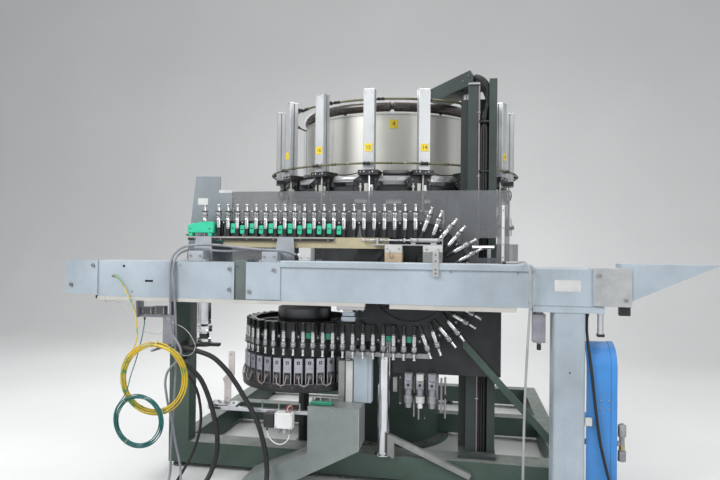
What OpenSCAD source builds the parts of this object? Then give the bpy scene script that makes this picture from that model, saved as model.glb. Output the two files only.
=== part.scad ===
// Rotary stretch blow moulding machine with its guards taken off.
// The origin is on the blow wheel's axis at floor level.
// X runs along the front beam, Y away from the front, Z up. Sizes are in millimetres.

/* [Front frame] */
// Height of the beams' top faces above the floor
beam_top = 1570; // [1540:1:1620]
// Height of the front beam's section
beam_h = 260; // [220:1:270]
// Depth of the front beam's section, front to back
beam_d = 140; // [110:1:160]
// Wall of the beam and column sections
beam_wall = 8; // [5:1:12]
// Distance from the moulds' outer faces to the inner beam's back face
beam_reach = 31.1; // [20:0.1:60]
// Left end of the front beam, measured from the axis
beam_left_x = -1970; // [-2050:1:-1900]
// Width of the left end plate
end_plate_w = 254; // [200:1:300]
// Left side of the splice gap between the two beams
splice_x = -930; // [-960:1:-900]
// Width of the splice gap that the green post fills
splice_w = 90; // [80:1:120]
// Left side of the head box on the right column
head_x = 1074; // [1040:1:1100]
// Width of the head box
head_w = 362; // [330:1:400]
// Width of the right end plate
right_plate_w = 226; // [180:1:260]
// Reach of the triangular shelf past the right end plate
shelf_reach = 480; // [400:1:520]
// Width and depth of the right column
column_w = 192; // [160:1:220]
// Height of the inner beam's section
inner_h = 240; // [200:1:260]
// Depth of the inner beam's section
inner_d = 60; // [50:1:66]

/* [Spindle chain] */
// Length of one chain link between its ball pins
link_pitch = 144; // [140:0.5:146]
// Links that would fill a whole turn of either chain wheel
wheel_links = 18; // [18:1:18]
// Links in the straight upper run, the top one of the turn-over wheel included
upper_links = 10; // [8:1:10]
// Links in the straight lower run before it meets the loading wheel
lower_links = 6; // [6:1:6]
// Turn-over wheel's axis, to the right of the blow wheel's
turn_x = 274; // [250:1:300]
// Turn-over wheel's axis below the beams' top
turn_drop = 124; // [110:1:140]
// Free space between the beam's back face and the spindle discs
chain_gap = 23; // [15:1:30]
// Radius of a spindle's thin disc
disc_r = 27; // [24:0.5:28]
// Radius of a spindle's silver body
body_r = 16; // [13:0.5:17]
// Radius of a spindle's shank
shank_r = 6; // [4:0.5:8]
// Height of a spindle's tip above the ball pins
tip_h = 132; // [120:1:140]
// Depth of a spindle's shank below the ball pins
shank_h = 103; // [102:0.5:110]
// Radius of a ball pin
ball_r = 10.5; // [9.5:0.1:11]

/* [Chain wheels] */
// Radius of the turn-over wheel's and the loading wheel's shafts
shaft_r = 30; // [24:1:36]
// Radius of the drum hub on the loading wheel
hub_drum_r = 205; // [140:1:215]
// Gripper fingers round the loading wheel
finger_count = 36; // [24:1:36]
// Width of one gripper finger
finger_w = 58; // [44:1:62]
// Height of one gripper finger
finger_h = 185; // [150:1:190]

/* [Blow wheel] */
// Number of stretch stations
stations = 16; // [12:1:16]
// Distance of the stretch units from the axis
station_r = 1030; // [1000:1:1034]
// Angle of the front station from the front, seen from above
station_turn = -3.5; // [-6:0.5:6]
// Width of a stretch unit's section
unit_w = 83; // [70:1:90]
// Depth of a stretch unit's section
unit_d = 75; // [60:1:80]
// Height of a stretch unit
unit_h = 605; // [500:1:650]
// Height of the stretch units' feet above the floor
unit_z = 2261; // [2240:1:2290]
// Radius of the stainless drum
drum_r = 800; // [760:1:820]
// Height of the stainless drum
drum_h = 516; // [480:1:560]
// Wall of the stainless drum
drum_wall = 4; // [2:0.5:8]
// Radius of the wheel table
table_r = 1000; // [960:1:1020]
// Height of the wheel table's underside above the floor
table_z = 1230; // [1225:1:1245]
// Thickness of the silver ring under the drum
base_ring_t = 40; // [30:1:45]
// Radius of the air pipe round the drum's top
pipe_r = 41; // [30:1:45]
// Travel of a stretch rod
rod_travel = 320; // [200:5:330]

/* [Gantry and screen] */
// Left side of the gantry post's back plate
post_x = 611; // [600:1:620]
// Width of the gantry post's back plate
post_w = 262; // [240:1:280]
// Free height between the stretch units' top fittings and the gantry arm
post_h = 6; // [4:0.5:30]
// Height of the gantry arm's web
arm_h = 110; // [80:1:120]
// Width of the gantry arm's flange
arm_w = 194; // [160:1:200]
// Thickness of the smoked screen
screen_t = 8; // [4:1:10]
// Height of the smoked screen above the inner beam
screen_h = 520; // [450:1:560]

/* [Hidden] */

$fn = 48;

// Clearances: a seated piece, a running shaft, a soft or curved neighbour
seat = 0.3;
run_gap = 0.05;

// Front frame, set out from the moulds' outer faces
mould_reach = 78;
turn_disc_t = 12;
bearing_space = 58;
link_t = 24;
link_y = body_r + seat;
inner_back = -(station_r + mould_reach + beam_reach);
inner_y = inner_back - inner_d;
bearing_front = inner_y - bearing_space;
turn_disc_y = bearing_front - seat - turn_disc_t;
chain_y = turn_disc_y - seat - link_t - link_y;
back_y = chain_y - disc_r - chain_gap;
front_y = back_y - beam_d;
beam_z = beam_top - beam_h;
beam_right_x = splice_x + splice_w;
lip_h = 16;
lip_x = beam_right_x + 246;
plate_t = 8;
head_end = head_x + head_w;
foot_flange_z = beam_z - 22;
column_x = head_x + 130;

// Chain plane and wheels
chain_z = beam_top - turn_drop;
half_turn = 180 / wheel_links;
pin_r = link_pitch / 2 / sin(half_turn);
run_r = pin_r * cos(half_turn);
up_z = chain_z + run_r;
low_z = chain_z - run_r;
pin_y = link_y + link_t / 2;
link_in = 100;
link_out = 12;
sleeve_r = 12;
load_x = turn_x - lower_links * link_pitch;
load_y = chain_y + pin_y + run_r;
rim_r = run_r - link_in - seat;
load_rim_r = run_r - link_t / 2 - seat;

// Inner beam behind the chain
inner_z = beam_top - inner_h;
inner_x = -1560;

// Blow wheel levels
drum_z = unit_z - 36;
base_ring_z = drum_z - base_ring_t;
drum_top = drum_z + drum_h;
ring_out = station_r - 50;
table_t = 40;
race_z = table_z - 70;

// Axis-aligned block given by its three ranges
module slab(x, y, z) {
    translate([x[0], y[0], z[0]]) cube([x[1] - x[0], y[1] - y[0], z[1] - z[0]]);
}

// Round bar along Z between two heights
module bar_z(r, z) {
    translate([0, 0, z[0]]) cylinder(r = r, h = z[1] - z[0]);
}

// Round bar along Y between two places
module bar_y(r, y) {
    translate([0, y[1], 0]) rotate([90, 0, 0]) cylinder(r = r, h = y[1] - y[0]);
}

// Round bar along X between two places
module bar_x(r, x) {
    translate([x[0], 0, 0]) rotate([0, 90, 0]) cylinder(r = r, h = x[1] - x[0]);
}

// Closed outline in X and Z, given depth in Y
module plate_xz(points, y) {
    translate([0, y[1], 0]) rotate([90, 0, 0]) linear_extrude(y[1] - y[0]) polygon(points);
}

// Closed outline in Y and Z, given length in X
module plate_yz(points, x) {
    translate([x[0], 0, 0]) rotate([90, 0, 90]) linear_extrude(x[1] - x[0]) polygon(points);
}

// Rectangle with round corners
module round_rect(w, d, r) {
    hull() for (i = [-1, 1], j = [-1, 1]) translate([i * (w / 2 - r), j * (d / 2 - r)]) circle(r = r, $fn = 32);
}

// Upright box column with round corners
module box_column(w, d, z, wall, r) {
    translate([0, 0, z[0]]) linear_extrude(z[1] - z[0]) difference() {
        offset_rect(w, d, r);
        offset_rect(w - 2 * wall, d - 2 * wall, r - wall / 2);
    }
}

// Exact rounded rectangle: two bars and four corner circles
module offset_rect(w, d, r) {
    square([w - 2 * r, d], center = true);
    square([w, d - 2 * r], center = true);
    for (i = [-1, 1], j = [-1, 1]) translate([i * (w / 2 - r), j * (d / 2 - r)]) circle(r = r);
}

// Places its children at one station's angle, local +X radially outward
module at_station(k) {
    rotate([0, 0, station_turn - 90 + k * 360 / stations]) children();
}

module each_station() {
    for (k = [0:stations - 1]) at_station(k) children();
}

// Places its children on the chain: local X along the link, Y away from the front, Z outward
module on_turn(angle) {
    translate([turn_x, chain_y, chain_z]) rotate([0, angle, 0]) translate([0, 0, run_r]) children();
}

module on_upper(k) {
    translate([-k * link_pitch, 0, 0]) on_turn(0) children();
}

module on_lower(k) {
    translate([-k * link_pitch, 0, 0]) on_turn(180) children();
}

module on_loading(angle) {
    translate([load_x, load_y, 0]) rotate([0, 0, -angle]) translate([-load_x, -load_y, 0])
        on_lower(lower_links) children();
}

module each_link() {
    for (k = [0:upper_links - 1]) on_upper(k) children();
    for (a = [2 * half_turn:2 * half_turn:179]) on_turn(a) children();
    for (k = [0:lower_links]) on_lower(k) children();
    for (a = [2 * half_turn:2 * half_turn:161]) on_loading(a) children();
}

// Front beam, left of the splice
module beam_left() {
    color("#9aa6ad") difference() {
        slab([beam_left_x, splice_x], [front_y, back_y], [beam_z, beam_top]);
        slab([beam_left_x - 1, splice_x + 1], [front_y + beam_wall, back_y - beam_wall],
            [beam_z + beam_wall, beam_top - beam_wall]);
        translate([beam_left_x + 204, 0, beam_top - 40]) bar_y(10, [front_y - 1, front_y + beam_wall + 1]);
        translate([beam_left_x + 400, 0, beam_z + 117]) slab([-32, 32], [front_y - 1, front_y + beam_wall + 1],
            [-7, 7]);
    }
}

// Front beam, right of the splice, with a folded lip along its top
module beam_right() {
    color("#93a0a8") {
        difference() {
            slab([beam_right_x, head_x], [front_y, back_y], [beam_z, beam_top]);
            slab([beam_right_x - 1, head_x + 1], [front_y + beam_wall, back_y - beam_wall],
                [beam_z + beam_wall, beam_top - beam_wall]);
        }
        plate_yz([
            [back_y, beam_top], [front_y, beam_top], [front_y, beam_top - 26], [front_y - 12, beam_top - 26],
            [front_y - 12, beam_top + lip_h - 6], [front_y - 6, beam_top + lip_h], [back_y, beam_top + lip_h]
        ], [lip_x, head_x]);
    }
}

// Dark green H post that fills the gap between the two beams
module splice_post() {
    web = 12;
    x = [splice_x, beam_right_x];
    color("#2f4a3c") difference() {
        slab(x, [front_y + 12, back_y], [beam_z, beam_top + lip_h]);
        slab([x[0] - 1, (x[0] + x[1] - web) / 2], [front_y + 26, back_y - 14], [beam_z - 1, beam_top + lip_h + 1]);
        slab([(x[0] + x[1] + web) / 2, x[1] + 1], [front_y + 26, back_y - 14], [beam_z - 1, beam_top + lip_h + 1]);
    }
}

// Left end plate, splice plate, right end plate and the triangular shelf beyond it
module bolted_plates() {
    color("#a9b3b9") {
        slab([beam_left_x - end_plate_w, beam_left_x], [front_y - plate_t, front_y], [beam_z + 14, beam_top + 2]);
        slab([beam_left_x - end_plate_w, beam_left_x], [front_y, back_y], [beam_z + 20, beam_top - 6]);
        slab([beam_right_x, lip_x], [front_y - plate_t, front_y], [beam_z + 8, beam_top + 4]);
        slab([head_end, head_end + right_plate_w], [front_y - 2 * plate_t, front_y], [beam_z + 24, beam_top + 1]);
        slab([head_end, head_end + right_plate_w], [front_y, back_y], [beam_z + 30, beam_top - 4]);
        shelf();
    }
}

module shelf() {
    x0 = head_end + right_plate_w;
    top = beam_top + 30;
    plate_xz([[x0, beam_z + 60], [x0 + shelf_reach, top - 12], [x0, top - 12]], [front_y - plate_t, front_y]);
    slab([x0 - 60, x0 + shelf_reach + 12], [front_y - plate_t, back_y], [top - 12, top]);
    slab([x0 - 60, x0], [front_y - plate_t, back_y], [beam_top + 1, top - 12]);
}

// Silver lip rail under the left beam and channel under the right one
module under_rails() {
    color("#c3c9cc") {
        slab([beam_left_x, -6], [front_y - 6, front_y + 34], [beam_z - 24, beam_z]);
        difference() {
            slab([158, 977], [front_y + 4, front_y + 90], [beam_z - 32, beam_z]);
            slab([157, 978], [front_y + 12, front_y + 82], [beam_z - 33, beam_z - 8]);
        }
    }
}

// Head box that joins the beams to the right column
module head_box() {
    color("#8f9ca4") difference() {
        union() {
            slab([head_x, head_end], [front_y - 4, inner_back], [beam_z + 19, beam_top - 9]);
            slab([head_x + 2, head_end + 70], [front_y - 4, inner_back], [foot_flange_z, beam_z + 19]);
        }
        slab([head_x + 10, head_end - 10], [front_y + 6, inner_back - 10], [beam_z + 29, beam_top - 19]);
    }
}

// Right column with its foot plate
module right_column() {
    color("#95a1a9") {
        translate([column_x + column_w / 2, front_y + column_w / 2, 0])
            box_column(column_w, column_w, [20, foot_flange_z], beam_wall, 20);
        slab([column_x - 45, column_x + column_w + 45], [front_y - 12, front_y + column_w + 45], [0, 20]);
    }
}

// Inner beam behind the chain, with the tie to the front beam
module inner_beam() {
    color("#6f7b80") difference() {
        union() {
            slab([inner_x, head_x], [inner_y, inner_back], [inner_z, beam_top]);
            slab([inner_x, inner_x + 160], [back_y, inner_y], [inner_z, beam_top]);
        }
        slab([inner_x + 10, head_x + 1], [inner_y + beam_wall, inner_back - beam_wall],
            [inner_z + beam_wall, beam_top - beam_wall]);
        translate([turn_x, 0, chain_z]) bar_y(shaft_r + 3, [inner_y - 1, inner_y + beam_wall + 1]);
    }
}

// Welded floor frame with its columns and levelling feet
module base_frame() {
    rail_z = [40, 200];
    rail_d = 190;
    x0 = inner_x;
    x1 = column_x + column_w;
    y0 = inner_y;
    y1 = 1000;
    color("#33473d") {
        slab([x0, x1], [y0, y0 + rail_d], rail_z);
        slab([x0, x1], [y1, y1 + 120], rail_z);
        slab([x0, x0 + 120], [y0 + rail_d, y1], rail_z);
        slab([x1 - 120, x1], [y0 + rail_d, y1], rail_z);
        difference() {
            slab([x0 + 120, x1 - 120], [-60, 60], rail_z);
            bar_z(pedestal_r + seat, [39, 201]);
        }
        slab([load_x - 60, load_x + 60], [y0 + rail_d, -60], [40, 160]);
        slab([x0, x0 + 160], [y0, y0 + 120], [200, inner_z]);
        slab([x1 - 156, x1 - 36], [y0, inner_back], [200, foot_flange_z]);
        for (x = [x0 + 60, -500, 500, x1 - 60], y = [y0 + 60, y1 + 60]) translate([x, y, 0]) {
            bar_z(45, [0, 14]);
            bar_z(16, [14, 40]);
        }
        plate_xz([[x1 - 156, 334], [x1 - 156, 404], [post_x + 29, 1060], [post_x + 29, 990]],
            [inner_y + 8, inner_y + 28]);
        slab([beam_left_x - 59, beam_left_x + 169], [front_y + 60, front_y + 120], [beam_z - 24, beam_z]);
    }
}

// Chrome column between the floor frame and the inner beam
module round_column() {
    color("#d9dadb") translate([83, inner_y + inner_d / 2, 0]) {
        bar_z(43, [206, inner_z - 6]);
        bar_z(58, [200, 206]);
        bar_z(58, [inner_z - 6, inner_z]);
    }
}

post_top = unit_z + unit_h + 18 + post_h;
post_y = inner_back + 79;
post_back = post_y + 125;

// Gantry post: two uprights on one back plate, held off the inner beam by a block
module gantry_post() {
    upright = [post_x + 52, post_x + 120];
    color("#3c4a45") {
        difference() {
            slab(upright, [post_y, post_back - 12], [225, post_top]);
            slab([upright[0] + 8, upright[1] - 8], [post_y + 8, post_back - 20], [224, post_top - 12]);
        }
        slab([post_x + post_w - 61, post_x + post_w - 6], [post_y, post_back - 12], [225, post_top + 18]);
        slab([post_x, post_x + post_w], [post_back - 12, post_back], [225, post_top - 103]);
        slab([post_x, post_x + post_w], [inner_back, post_back], [200, 225]);
        slab(upright, [inner_back, post_y], [inner_z + 40, beam_top - 40]);
        slab([upright[0] + 2, upright[1] + 14], [post_y - 14, post_y], [post_top - 24, post_top - 12]);
        translate([upright[1] + 9, post_y + 12, 0]) bar_z(8, [225, post_top - 24]);
    }
}

arm_turn = -57.5;
arm_y = 46.5;
arm_x = [415, 1210];

// Gantry arm: folded web, flange and rear lip over the wheel, its end corner cut off
module gantry_arm() {
    z = post_top;
    t = 10;
    color("#3f4d48") rotate([0, 0, arm_turn]) {
        translate([0, arm_y, 0]) plate_xz([
            [arm_x[0], z], [arm_x[1], z], [arm_x[1], z + arm_h - 40], [arm_x[1] - 34, z + arm_h], [arm_x[0], z + arm_h]
        ], [0, t]);
        slab(arm_x, [arm_y + t, arm_y + arm_w], [z, z + t]);
        slab(arm_x, [arm_y + arm_w - t, arm_y + arm_w], [z + t, z + 42]);
    }
}

// Smoked sheet with its cut-out
module screen() {
    color("#5c6468", 0.45) difference() {
        slab([-1108, 950], [inner_y, inner_y + screen_t], [beam_top, beam_top + screen_h]);
        slab([737, 867], [inner_y - 1, inner_y + screen_t + 1], [beam_top + 50, beam_top + 188]);
    }
}

// White edge strip of the screen
module screen_strip() {
    color("#e4e6e6") slab([897, 915], [inner_y - 8, inner_y], [beam_top + 22, beam_top + 417]);
}

// Grey steel plate that holds the screen's left end
module arm_plate() {
    color("#9098a0") plate_xz([
        [inner_x + 160 + seat, beam_top - 70], [inner_x + 160 + seat, beam_top + seat], [-1431, beam_top + seat],
        [-1361, beam_top + 635], [-1164, beam_top + 633], [-1168, beam_top + 510],
        [-1070, beam_top + 510], [-1070, beam_top - 70]
    ], [inner_y - plate_t, inner_y]);
}

rail_top = up_z - shank_h - seat;
rail_t = 9;
bar_z1 = rail_top - rail_t;
bar_z0 = bar_z1 - 67;
bar_front = chain_y - 20;
bar_back = chain_y + 10;
rail_front = chain_y - 36;
rail_end = -257;

// Arms, feet and blocks that carry the guide rail and bar on the beam
module rail_brackets() {
    top = beam_top + lip_h;
    color("#8b969d") {
        for (x = [-1235, -614]) {
            plate_xz([[x - 77, beam_top + 6], [x + 77, beam_top + 6], [x + 66, rail_top], [x - 52, rail_top]],
                [rail_front - plate_t, rail_front]);
        }
        for (x = [-1235, -688]) {
            slab([x - 55, x + 55], [rail_front - plate_t - 110, rail_front - plate_t], [beam_top, beam_top + 76]);
        }
        slab([-490, -405], [back_y - 60, bar_back], [top, bar_z0 - seat]);
        slab([112, 228], [back_y - 60, bar_back], [top, top + 64]);
        slab([112, 228], [back_y - 60, bar_front - 6], [top + 64, top + 114]);
        slab([112, 228], [bar_front - 6, bar_back], [top + 64, bar_z0 - seat]);
        slab([370, 500], [back_y - 60, bar_front - 6], [top, top + 70]);
        slab([370, 500], [back_y - 60, bar_front - 6], [top + 70, top + 114]);
    }
}

// Thin rail under the upper run's shanks, its left end curled up
module guide_rail() {
    x0 = -1353;
    curl = 26;
    color("#3b3f41") {
        slab([x0, rail_end], [rail_front, chain_y + 30], [bar_z1, rail_top]);
        slab([x0, rail_end], [rail_front, rail_front + 4], [bar_z1 - 20, bar_z1]);
        translate([x0, chain_y + 30, bar_z1 + curl]) rotate([90, 0, 0]) linear_extrude(chain_y + 30 - rail_front)
            intersection() {
                difference() {
                    circle(r = curl);
                    circle(r = curl - rail_t);
                }
                translate([-curl, -curl]) square([curl, curl]);
            }
    }
}

// Beige bar behind the rail
module guide_bar() {
    color("#b3a77f") plate_xz([
        [-1085, bar_z0], [131, bar_z0], [131, rail_top], [rail_end + seat, rail_top], [rail_end + seat, bar_z1],
        [-1085, bar_z1]
    ], [bar_front, bar_back]);
}

// One link: a block with a half-round seat at each end and two spindle sleeves in front
module link() {
    half = link_pitch / 2;
    difference() {
        union() {
            plate_xz([
                [-53, -link_in], [53, -link_in], [64, -36], [64, link_out], [-64, link_out], [-64, -36]
            ], [link_y, link_y + link_t]);
            for (s = [-1, 1]) translate([s * half / 2, 0, 0]) {
                bar_z(sleeve_r, [-link_in, -38 - seat]);
                slab([-7, 7], [0, link_y + 1], [-link_in, -56]);
            }
        }
        for (s = [-1, 1]) {
            translate([s * half, 0, 0]) bar_y(ball_r + (s > 0 ? seat : seat + 0.1), [link_y - 1, link_y + link_t + 1]);
            translate([s * half / 2, 0, 0]) bar_z(shank_r + run_gap, [-link_in - 1, -30]);
        }
    }
}

module chain_links() {
    color("#1f2224") {
        each_link() link();
        on_upper(upper_links) intersection() {
            link();
            slab([14, 80], [-40, 60], [-120, 40]);
        }
    }
}

// One ball pin with the round cap that shows between the spindles
module ball_pin() {
    translate([0, pin_y, 0]) sphere(r = ball_r);
    bar_y(6, [4, pin_y]);
    bar_y(17.5, [7, link_y - seat]);
}

module ball_pins() {
    half = link_pitch / 2;
    color("#6d7275") {
        each_link() translate([half, 0, 0]) ball_pin();
        on_upper(upper_links) translate([half, 0, 0]) ball_pin();
    }
}

// One spindle, turned from bar
module spindle() {
    rotate_extrude() polygon([
        [0, -shank_h], [shank_r, -shank_h], [shank_r, -38], [body_r - 2, -38], [body_r, -36], [body_r, 31],
        [body_r - 4, 34], [body_r - 4, 37], [23, 37], [23, 42], [19, 46], [21, 49], [21, 70], [19, 73], [12, 76],
        [12, 80], [disc_r, 80], [disc_r, 84], [10, 84], [9, tip_h - 9], [13, tip_h - 6], [13, tip_h - 2],
        [11, tip_h], [0, tip_h]
    ]);
}

end_spindle_u = -72;

module spindles() {
    color("#d5d8d9") {
        each_link() for (s = [-1, 1]) translate([s * link_pitch / 4, 0, 0]) spindle();
        on_upper(upper_links) translate([link_pitch / 4, 0, 0]) spindle();
        on_upper(upper_links) translate([end_spindle_u, 0, 0]) spindle();
    }
}

// Rounded green clip on the face of a link
module clip(z) {
    r = 8;
    w = 36;
    translate([0, link_y, 0]) rotate([90, 0, 0]) linear_extrude(11) {
        translate([-w / 2 + r, z[0]]) square([w - 2 * r, z[1] - z[0]]);
        translate([-w / 2, z[0] + r]) square([w, z[1] - z[0] - 2 * r]);
        for (s = [-1, 1], q = [z[0] + r, z[1] - r]) translate([s * (w / 2 - r), q]) circle(r = r);
    }
}

// Green clips of the upper run, the lower run's smaller ones and the block at the chain's end
module green_clips() {
    color("#28c896") {
        for (k = [4:upper_links - 1]) on_upper(k) clip([-78, -6]);
        for (k = [4:upper_links - 1]) on_upper(k) translate([link_pitch / 2 - 1, 0, 0]) clip([-82, -20]);
        for (k = [0, 1, 4, 5]) on_lower(k) clip([-32, 11]);
        on_upper(upper_links) difference() {
            union() {
                slab([-197, 8], [-25, 32], [-78, 5]);
                slab([-190, -160], [-20, 27], [-shank_h, -78]);
                slab([-40, -10], [-20, 27], [-shank_h, -78]);
            }
            translate([end_spindle_u, 0, 0]) bar_z(body_r + seat, [-38 - seat, 6]);
            translate([end_spindle_u, 0, 0]) bar_z(shank_r + seat, [-79, 6]);
        }
    }
}

// Bearing housing of the turn-over wheel, on the inner beam's face
module turn_bearing() {
    color("#4c5356") translate([turn_x, 0, chain_z]) difference() {
        union() {
            bar_y(84, [bearing_front, inner_y - 12]);
            bar_y(116, [inner_y - 12, inner_y]);
        }
        bar_y(shaft_r + run_gap, [bearing_front - 1, inner_y + 1]);
        for (a = [45:90:315]) rotate([0, a, 0]) translate([100, 0, 0]) bar_y(6, [inner_y - 13, inner_y + 1]);
    }
}

// Turn-over wheel: rim under the links, web, guide disc behind them, hub and shaft
module turn_wheel() {
    web_y = chain_y + link_y;
    color("#2b2f31") translate([turn_x, 0, chain_z]) {
        difference() {
            union() {
                bar_y(rim_r, [web_y, turn_disc_y]);
                bar_y(pin_r + 15, [turn_disc_y, turn_disc_y + turn_disc_t]);
            }
            bar_y(rim_r - 34, [web_y - 1, turn_disc_y - 10]);
            for (a = [0:60:300]) rotate([0, a, 0]) translate([rim_r * 0.55, 0, 0])
                bar_y(52, [web_y, turn_disc_y + turn_disc_t + 1]);
        }
        bar_y(72, [web_y - 6, turn_disc_y]);
        bar_y(shaft_r, [turn_disc_y, inner_y + 30]);
    }
}

tension_y = chain_y - 40;
tension_z = rail_top - 16;
tension_x = [60, 236, 478];
tension_travel = 30;
tension_rod_r = 6;

// Chain tensioner: base plate, eye, cylinder and strap
module tensioner_body() {
    plate_z = beam_top + lip_h + 114;
    y = [tension_y - 18, tension_y + 14];
    color("#c9cdce") {
        slab([20, 500], y, [plate_z, plate_z + 8]);
        difference() {
            slab([48, 60], y, [plate_z + 8, tension_z + 16]);
            translate([0, tension_y, tension_z]) bar_x(tension_rod_r + run_gap, [40, 70]);
        }
        translate([0, tension_y, tension_z]) difference() {
            bar_x(15, [tension_x[1] + 12 + tension_travel, tension_x[2]]);
            bar_x(tension_rod_r + run_gap, [tension_x[1] + 11 + tension_travel, tension_x[2] - 20]);
            bar_x(11, [tension_x[1] + 60, tension_x[2] - 20]);
        }
        slab([tension_x[1] + 50, tension_x[1] + 80], y, [plate_z + 8, tension_z - 14.5]);
        slab([tension_x[2] - 60, tension_x[2] - 20], y, [plate_z + 8, tension_z - 14.5]);
        slab([440, 480], [front_y - 20, front_y - 12], [beam_top - 70, plate_z - 44]);
        slab([440, 480], [front_y - 20, back_y - 60], [plate_z - 44, plate_z - 36]);
    }
}

module tensioner_spring() {
    coils = 9;
    wire = 2;
    r = 8.6;
    x0 = 60 + seat + wire;
    x1 = tension_x[1] - seat - wire;
    steps = 12 * coils;
    color("#8d9294") translate([0, tension_y, tension_z])
        tube([for (i = [0:steps]) [x0 + (x1 - x0) * i / steps, r * cos(i * 30), r * sin(i * 30)]], 1, wire, 6);
}

// Tensioner rod with its spring collar and piston
module tensioner_rod() {
    color("#dfe1e2") translate([0, tension_y, tension_z]) {
        bar_x(tension_rod_r, [-40, tension_x[2] - 60]);
        bar_x(16, [tension_x[1], tension_x[1] + 8]);
        bar_x(10.5, [tension_x[1] + 100, tension_x[1] + 120]);
        bar_x(12, [-52, -40]);
    }
}

low_rim = [low_z - link_out + 2, low_z + link_in - 2];
finger_z = low_z - tip_h - 20 - finger_h;
finger_in = 446;

// Loading wheel: rim that backs the chain, plate, drum hub, gripper ring and shaft
module loading_wheel() {
    bottom = 165;
    color("#3a3f42") translate([load_x, load_y, 0]) {
        difference() {
            bar_z(load_rim_r, low_rim);
            bar_z(load_rim_r - 18, [low_rim[0] - 1, low_rim[1] + 1]);
        }
        difference() {
            bar_z(load_rim_r - 17, [low_rim[0] + 60, low_rim[0] + 74]);
            for (a = [0:60:300]) rotate([0, 0, a]) translate([275, 0, 0]) bar_z(62, [low_rim[0] + 59, low_rim[0] + 75]);
        }
        bar_z(hub_drum_r, [low_rim[0] + 74, table_z - 18]);
        bar_z(shaft_r + 10, [bottom, low_rim[0] + 61]);
        difference() {
            bar_z(470, [finger_z - 55, finger_z]);
            bar_z(400, [finger_z - 30, finger_z + 1]);
            for (a = [30:60:330]) rotate([0, 0, a]) translate([250, 0, 0]) bar_z(90, [finger_z - 56, finger_z]);
        }
        bar_z(90, [finger_z - 30, finger_z + 20]);
    }
}

// Ring of gripper fingers, each a plate with a square window, a neck jaw and a roller
module gripper_fingers() {
    color("#b9bdc4") translate([load_x, load_y, 0]) for (k = [0:finger_count - 1]) rotate([0, 0, k * 360 / finger_count]) {
        difference() {
            slab([finger_in, finger_in + 12], [-finger_w / 2, finger_w / 2], [finger_z, finger_z + finger_h]);
            slab([finger_in - 1, finger_in + 13], [-11, 11], [finger_z + finger_h - 42, finger_z + finger_h - 20]);
            slab([finger_in - 1, finger_in + 13], [-9, 9], [finger_z + 12, finger_z + 34]);
        }
        slab([finger_in - 44, finger_in], [-14, 14], [finger_z + finger_h - 16, finger_z + finger_h]);
        translate([finger_in + 12, 0, finger_z + 54]) bar_x(11, [0, 8]);
    }
}

infeed_x = -1231;
infeed_y = chain_y;

// Bearing of the infeed shaft, hung from the left beam
module infeed_bearing() {
    z = beam_z - 20;
    color("#c8cacb") translate([infeed_x, infeed_y, 0]) {
        slab([-60, 60], [front_y + 40 - infeed_y, 70], [z, beam_z]);
        difference() {
            union() {
                bar_z(48, [z - 150, z]);
                bar_z(56, [z - 20, z]);
            }
            bar_z(24 + run_gap, [z - 151, z - 30]);
        }
    }
}

// Infeed shaft with collars and a three-armed star
module infeed_star() {
    z = beam_z - 20;
    color("#2a2c2e") translate([infeed_x, infeed_y, 0]) {
        bar_z(24, [z - 346, z - 32]);
        bar_z(44, [z - 178, z - 152]);
        bar_z(36, [z - 300, z - 250]);
        for (a = [0:120:240]) rotate([0, 0, a]) difference() {
            slab([0, 120], [-22, 22], [z - 340, z - 318]);
            translate([98, 0, 0]) bar_z(9, [z - 341, z - 317]);
        }
        bar_z(62, [z - 340, z - 318]);
    }
}

pedestal_r = 430;

// Pedestal with its flange and the fixed race of the slewing ring
module pedestal() {
    color("#4b5a55") difference() {
        union() {
            bar_z(pedestal_r, [0, race_z]);
            bar_z(pedestal_r + 90, [0, 30]);
            bar_z(pedestal_r - 10, [race_z, table_z - 2]);
        }
        bar_z(pedestal_r - 30, [30, race_z - 60]);
        bar_z(240, [race_z - 61, table_z]);
        for (a = [15:30:345]) rotate([0, 0, a]) translate([pedestal_r + 50, 0, 0]) bar_z(13, [-1, 31]);
    }
}

// Turning race of the slewing ring, under the wheel table
module slewing_ring() {
    color("#84898b") difference() {
        bar_z(pedestal_r + 70, [race_z + 2, table_z]);
        bar_z(pedestal_r - 10 + run_gap, [race_z + 1, table_z + 1]);
    }
}

// Round table that carries the stations
module wheel_table() {
    color("#565f60") difference() {
        bar_z(table_r, [table_z, table_z + table_t]);
        bar_z(240, [table_z - 1, table_z + table_t + 1]);
        each_station() translate([620, 0, 0]) bar_z(80, [table_z - 1, table_z + table_t + 1]);
    }
}

frame_in = ring_out - 180;

// C-shaped console of every station, with the arm that holds its nozzle
module station_frames() {
    z0 = table_z + table_t + run_gap;
    z1 = base_ring_z - run_gap;
    color("#59666a") each_station() {
        translate([0, 60, 0]) rotate([90, 0, 0]) linear_extrude(120) difference() {
            polygon([
                [frame_in, z0], [table_r - 6, z0], [table_r - 6, z0 + 34], [frame_in + 70, z0 + 34],
                [frame_in + 46, z0 + 60], [frame_in + 46, z1 - 70], [frame_in + 80, z1 - 36], [ring_out, z1 - 36],
                [ring_out, z1], [frame_in, z1]
            ]);
            for (z = [z0 + 140:170:z1 - 140]) translate([frame_in + 22, z]) circle(r = 12);
        }
        difference() {
            slab([frame_in + 40, station_r + 46], [-42, 42], [nozzle_z, nozzle_z + 25]);
            translate([station_r, 0, 0]) bar_z(nozzle_r + seat, [nozzle_z - 1, nozzle_z + 26]);
        }
    }
}

mould_z = [table_z + 110, table_z + 490];
mould_in = station_r - 100;
mould_out = station_r + mould_reach;
nozzle_z = mould_z[1] + 130;
nozzle_r = 28;
mould_half_w = 95;
hinge_in = mould_in - 24;
pin_hole_r = 12;

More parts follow.
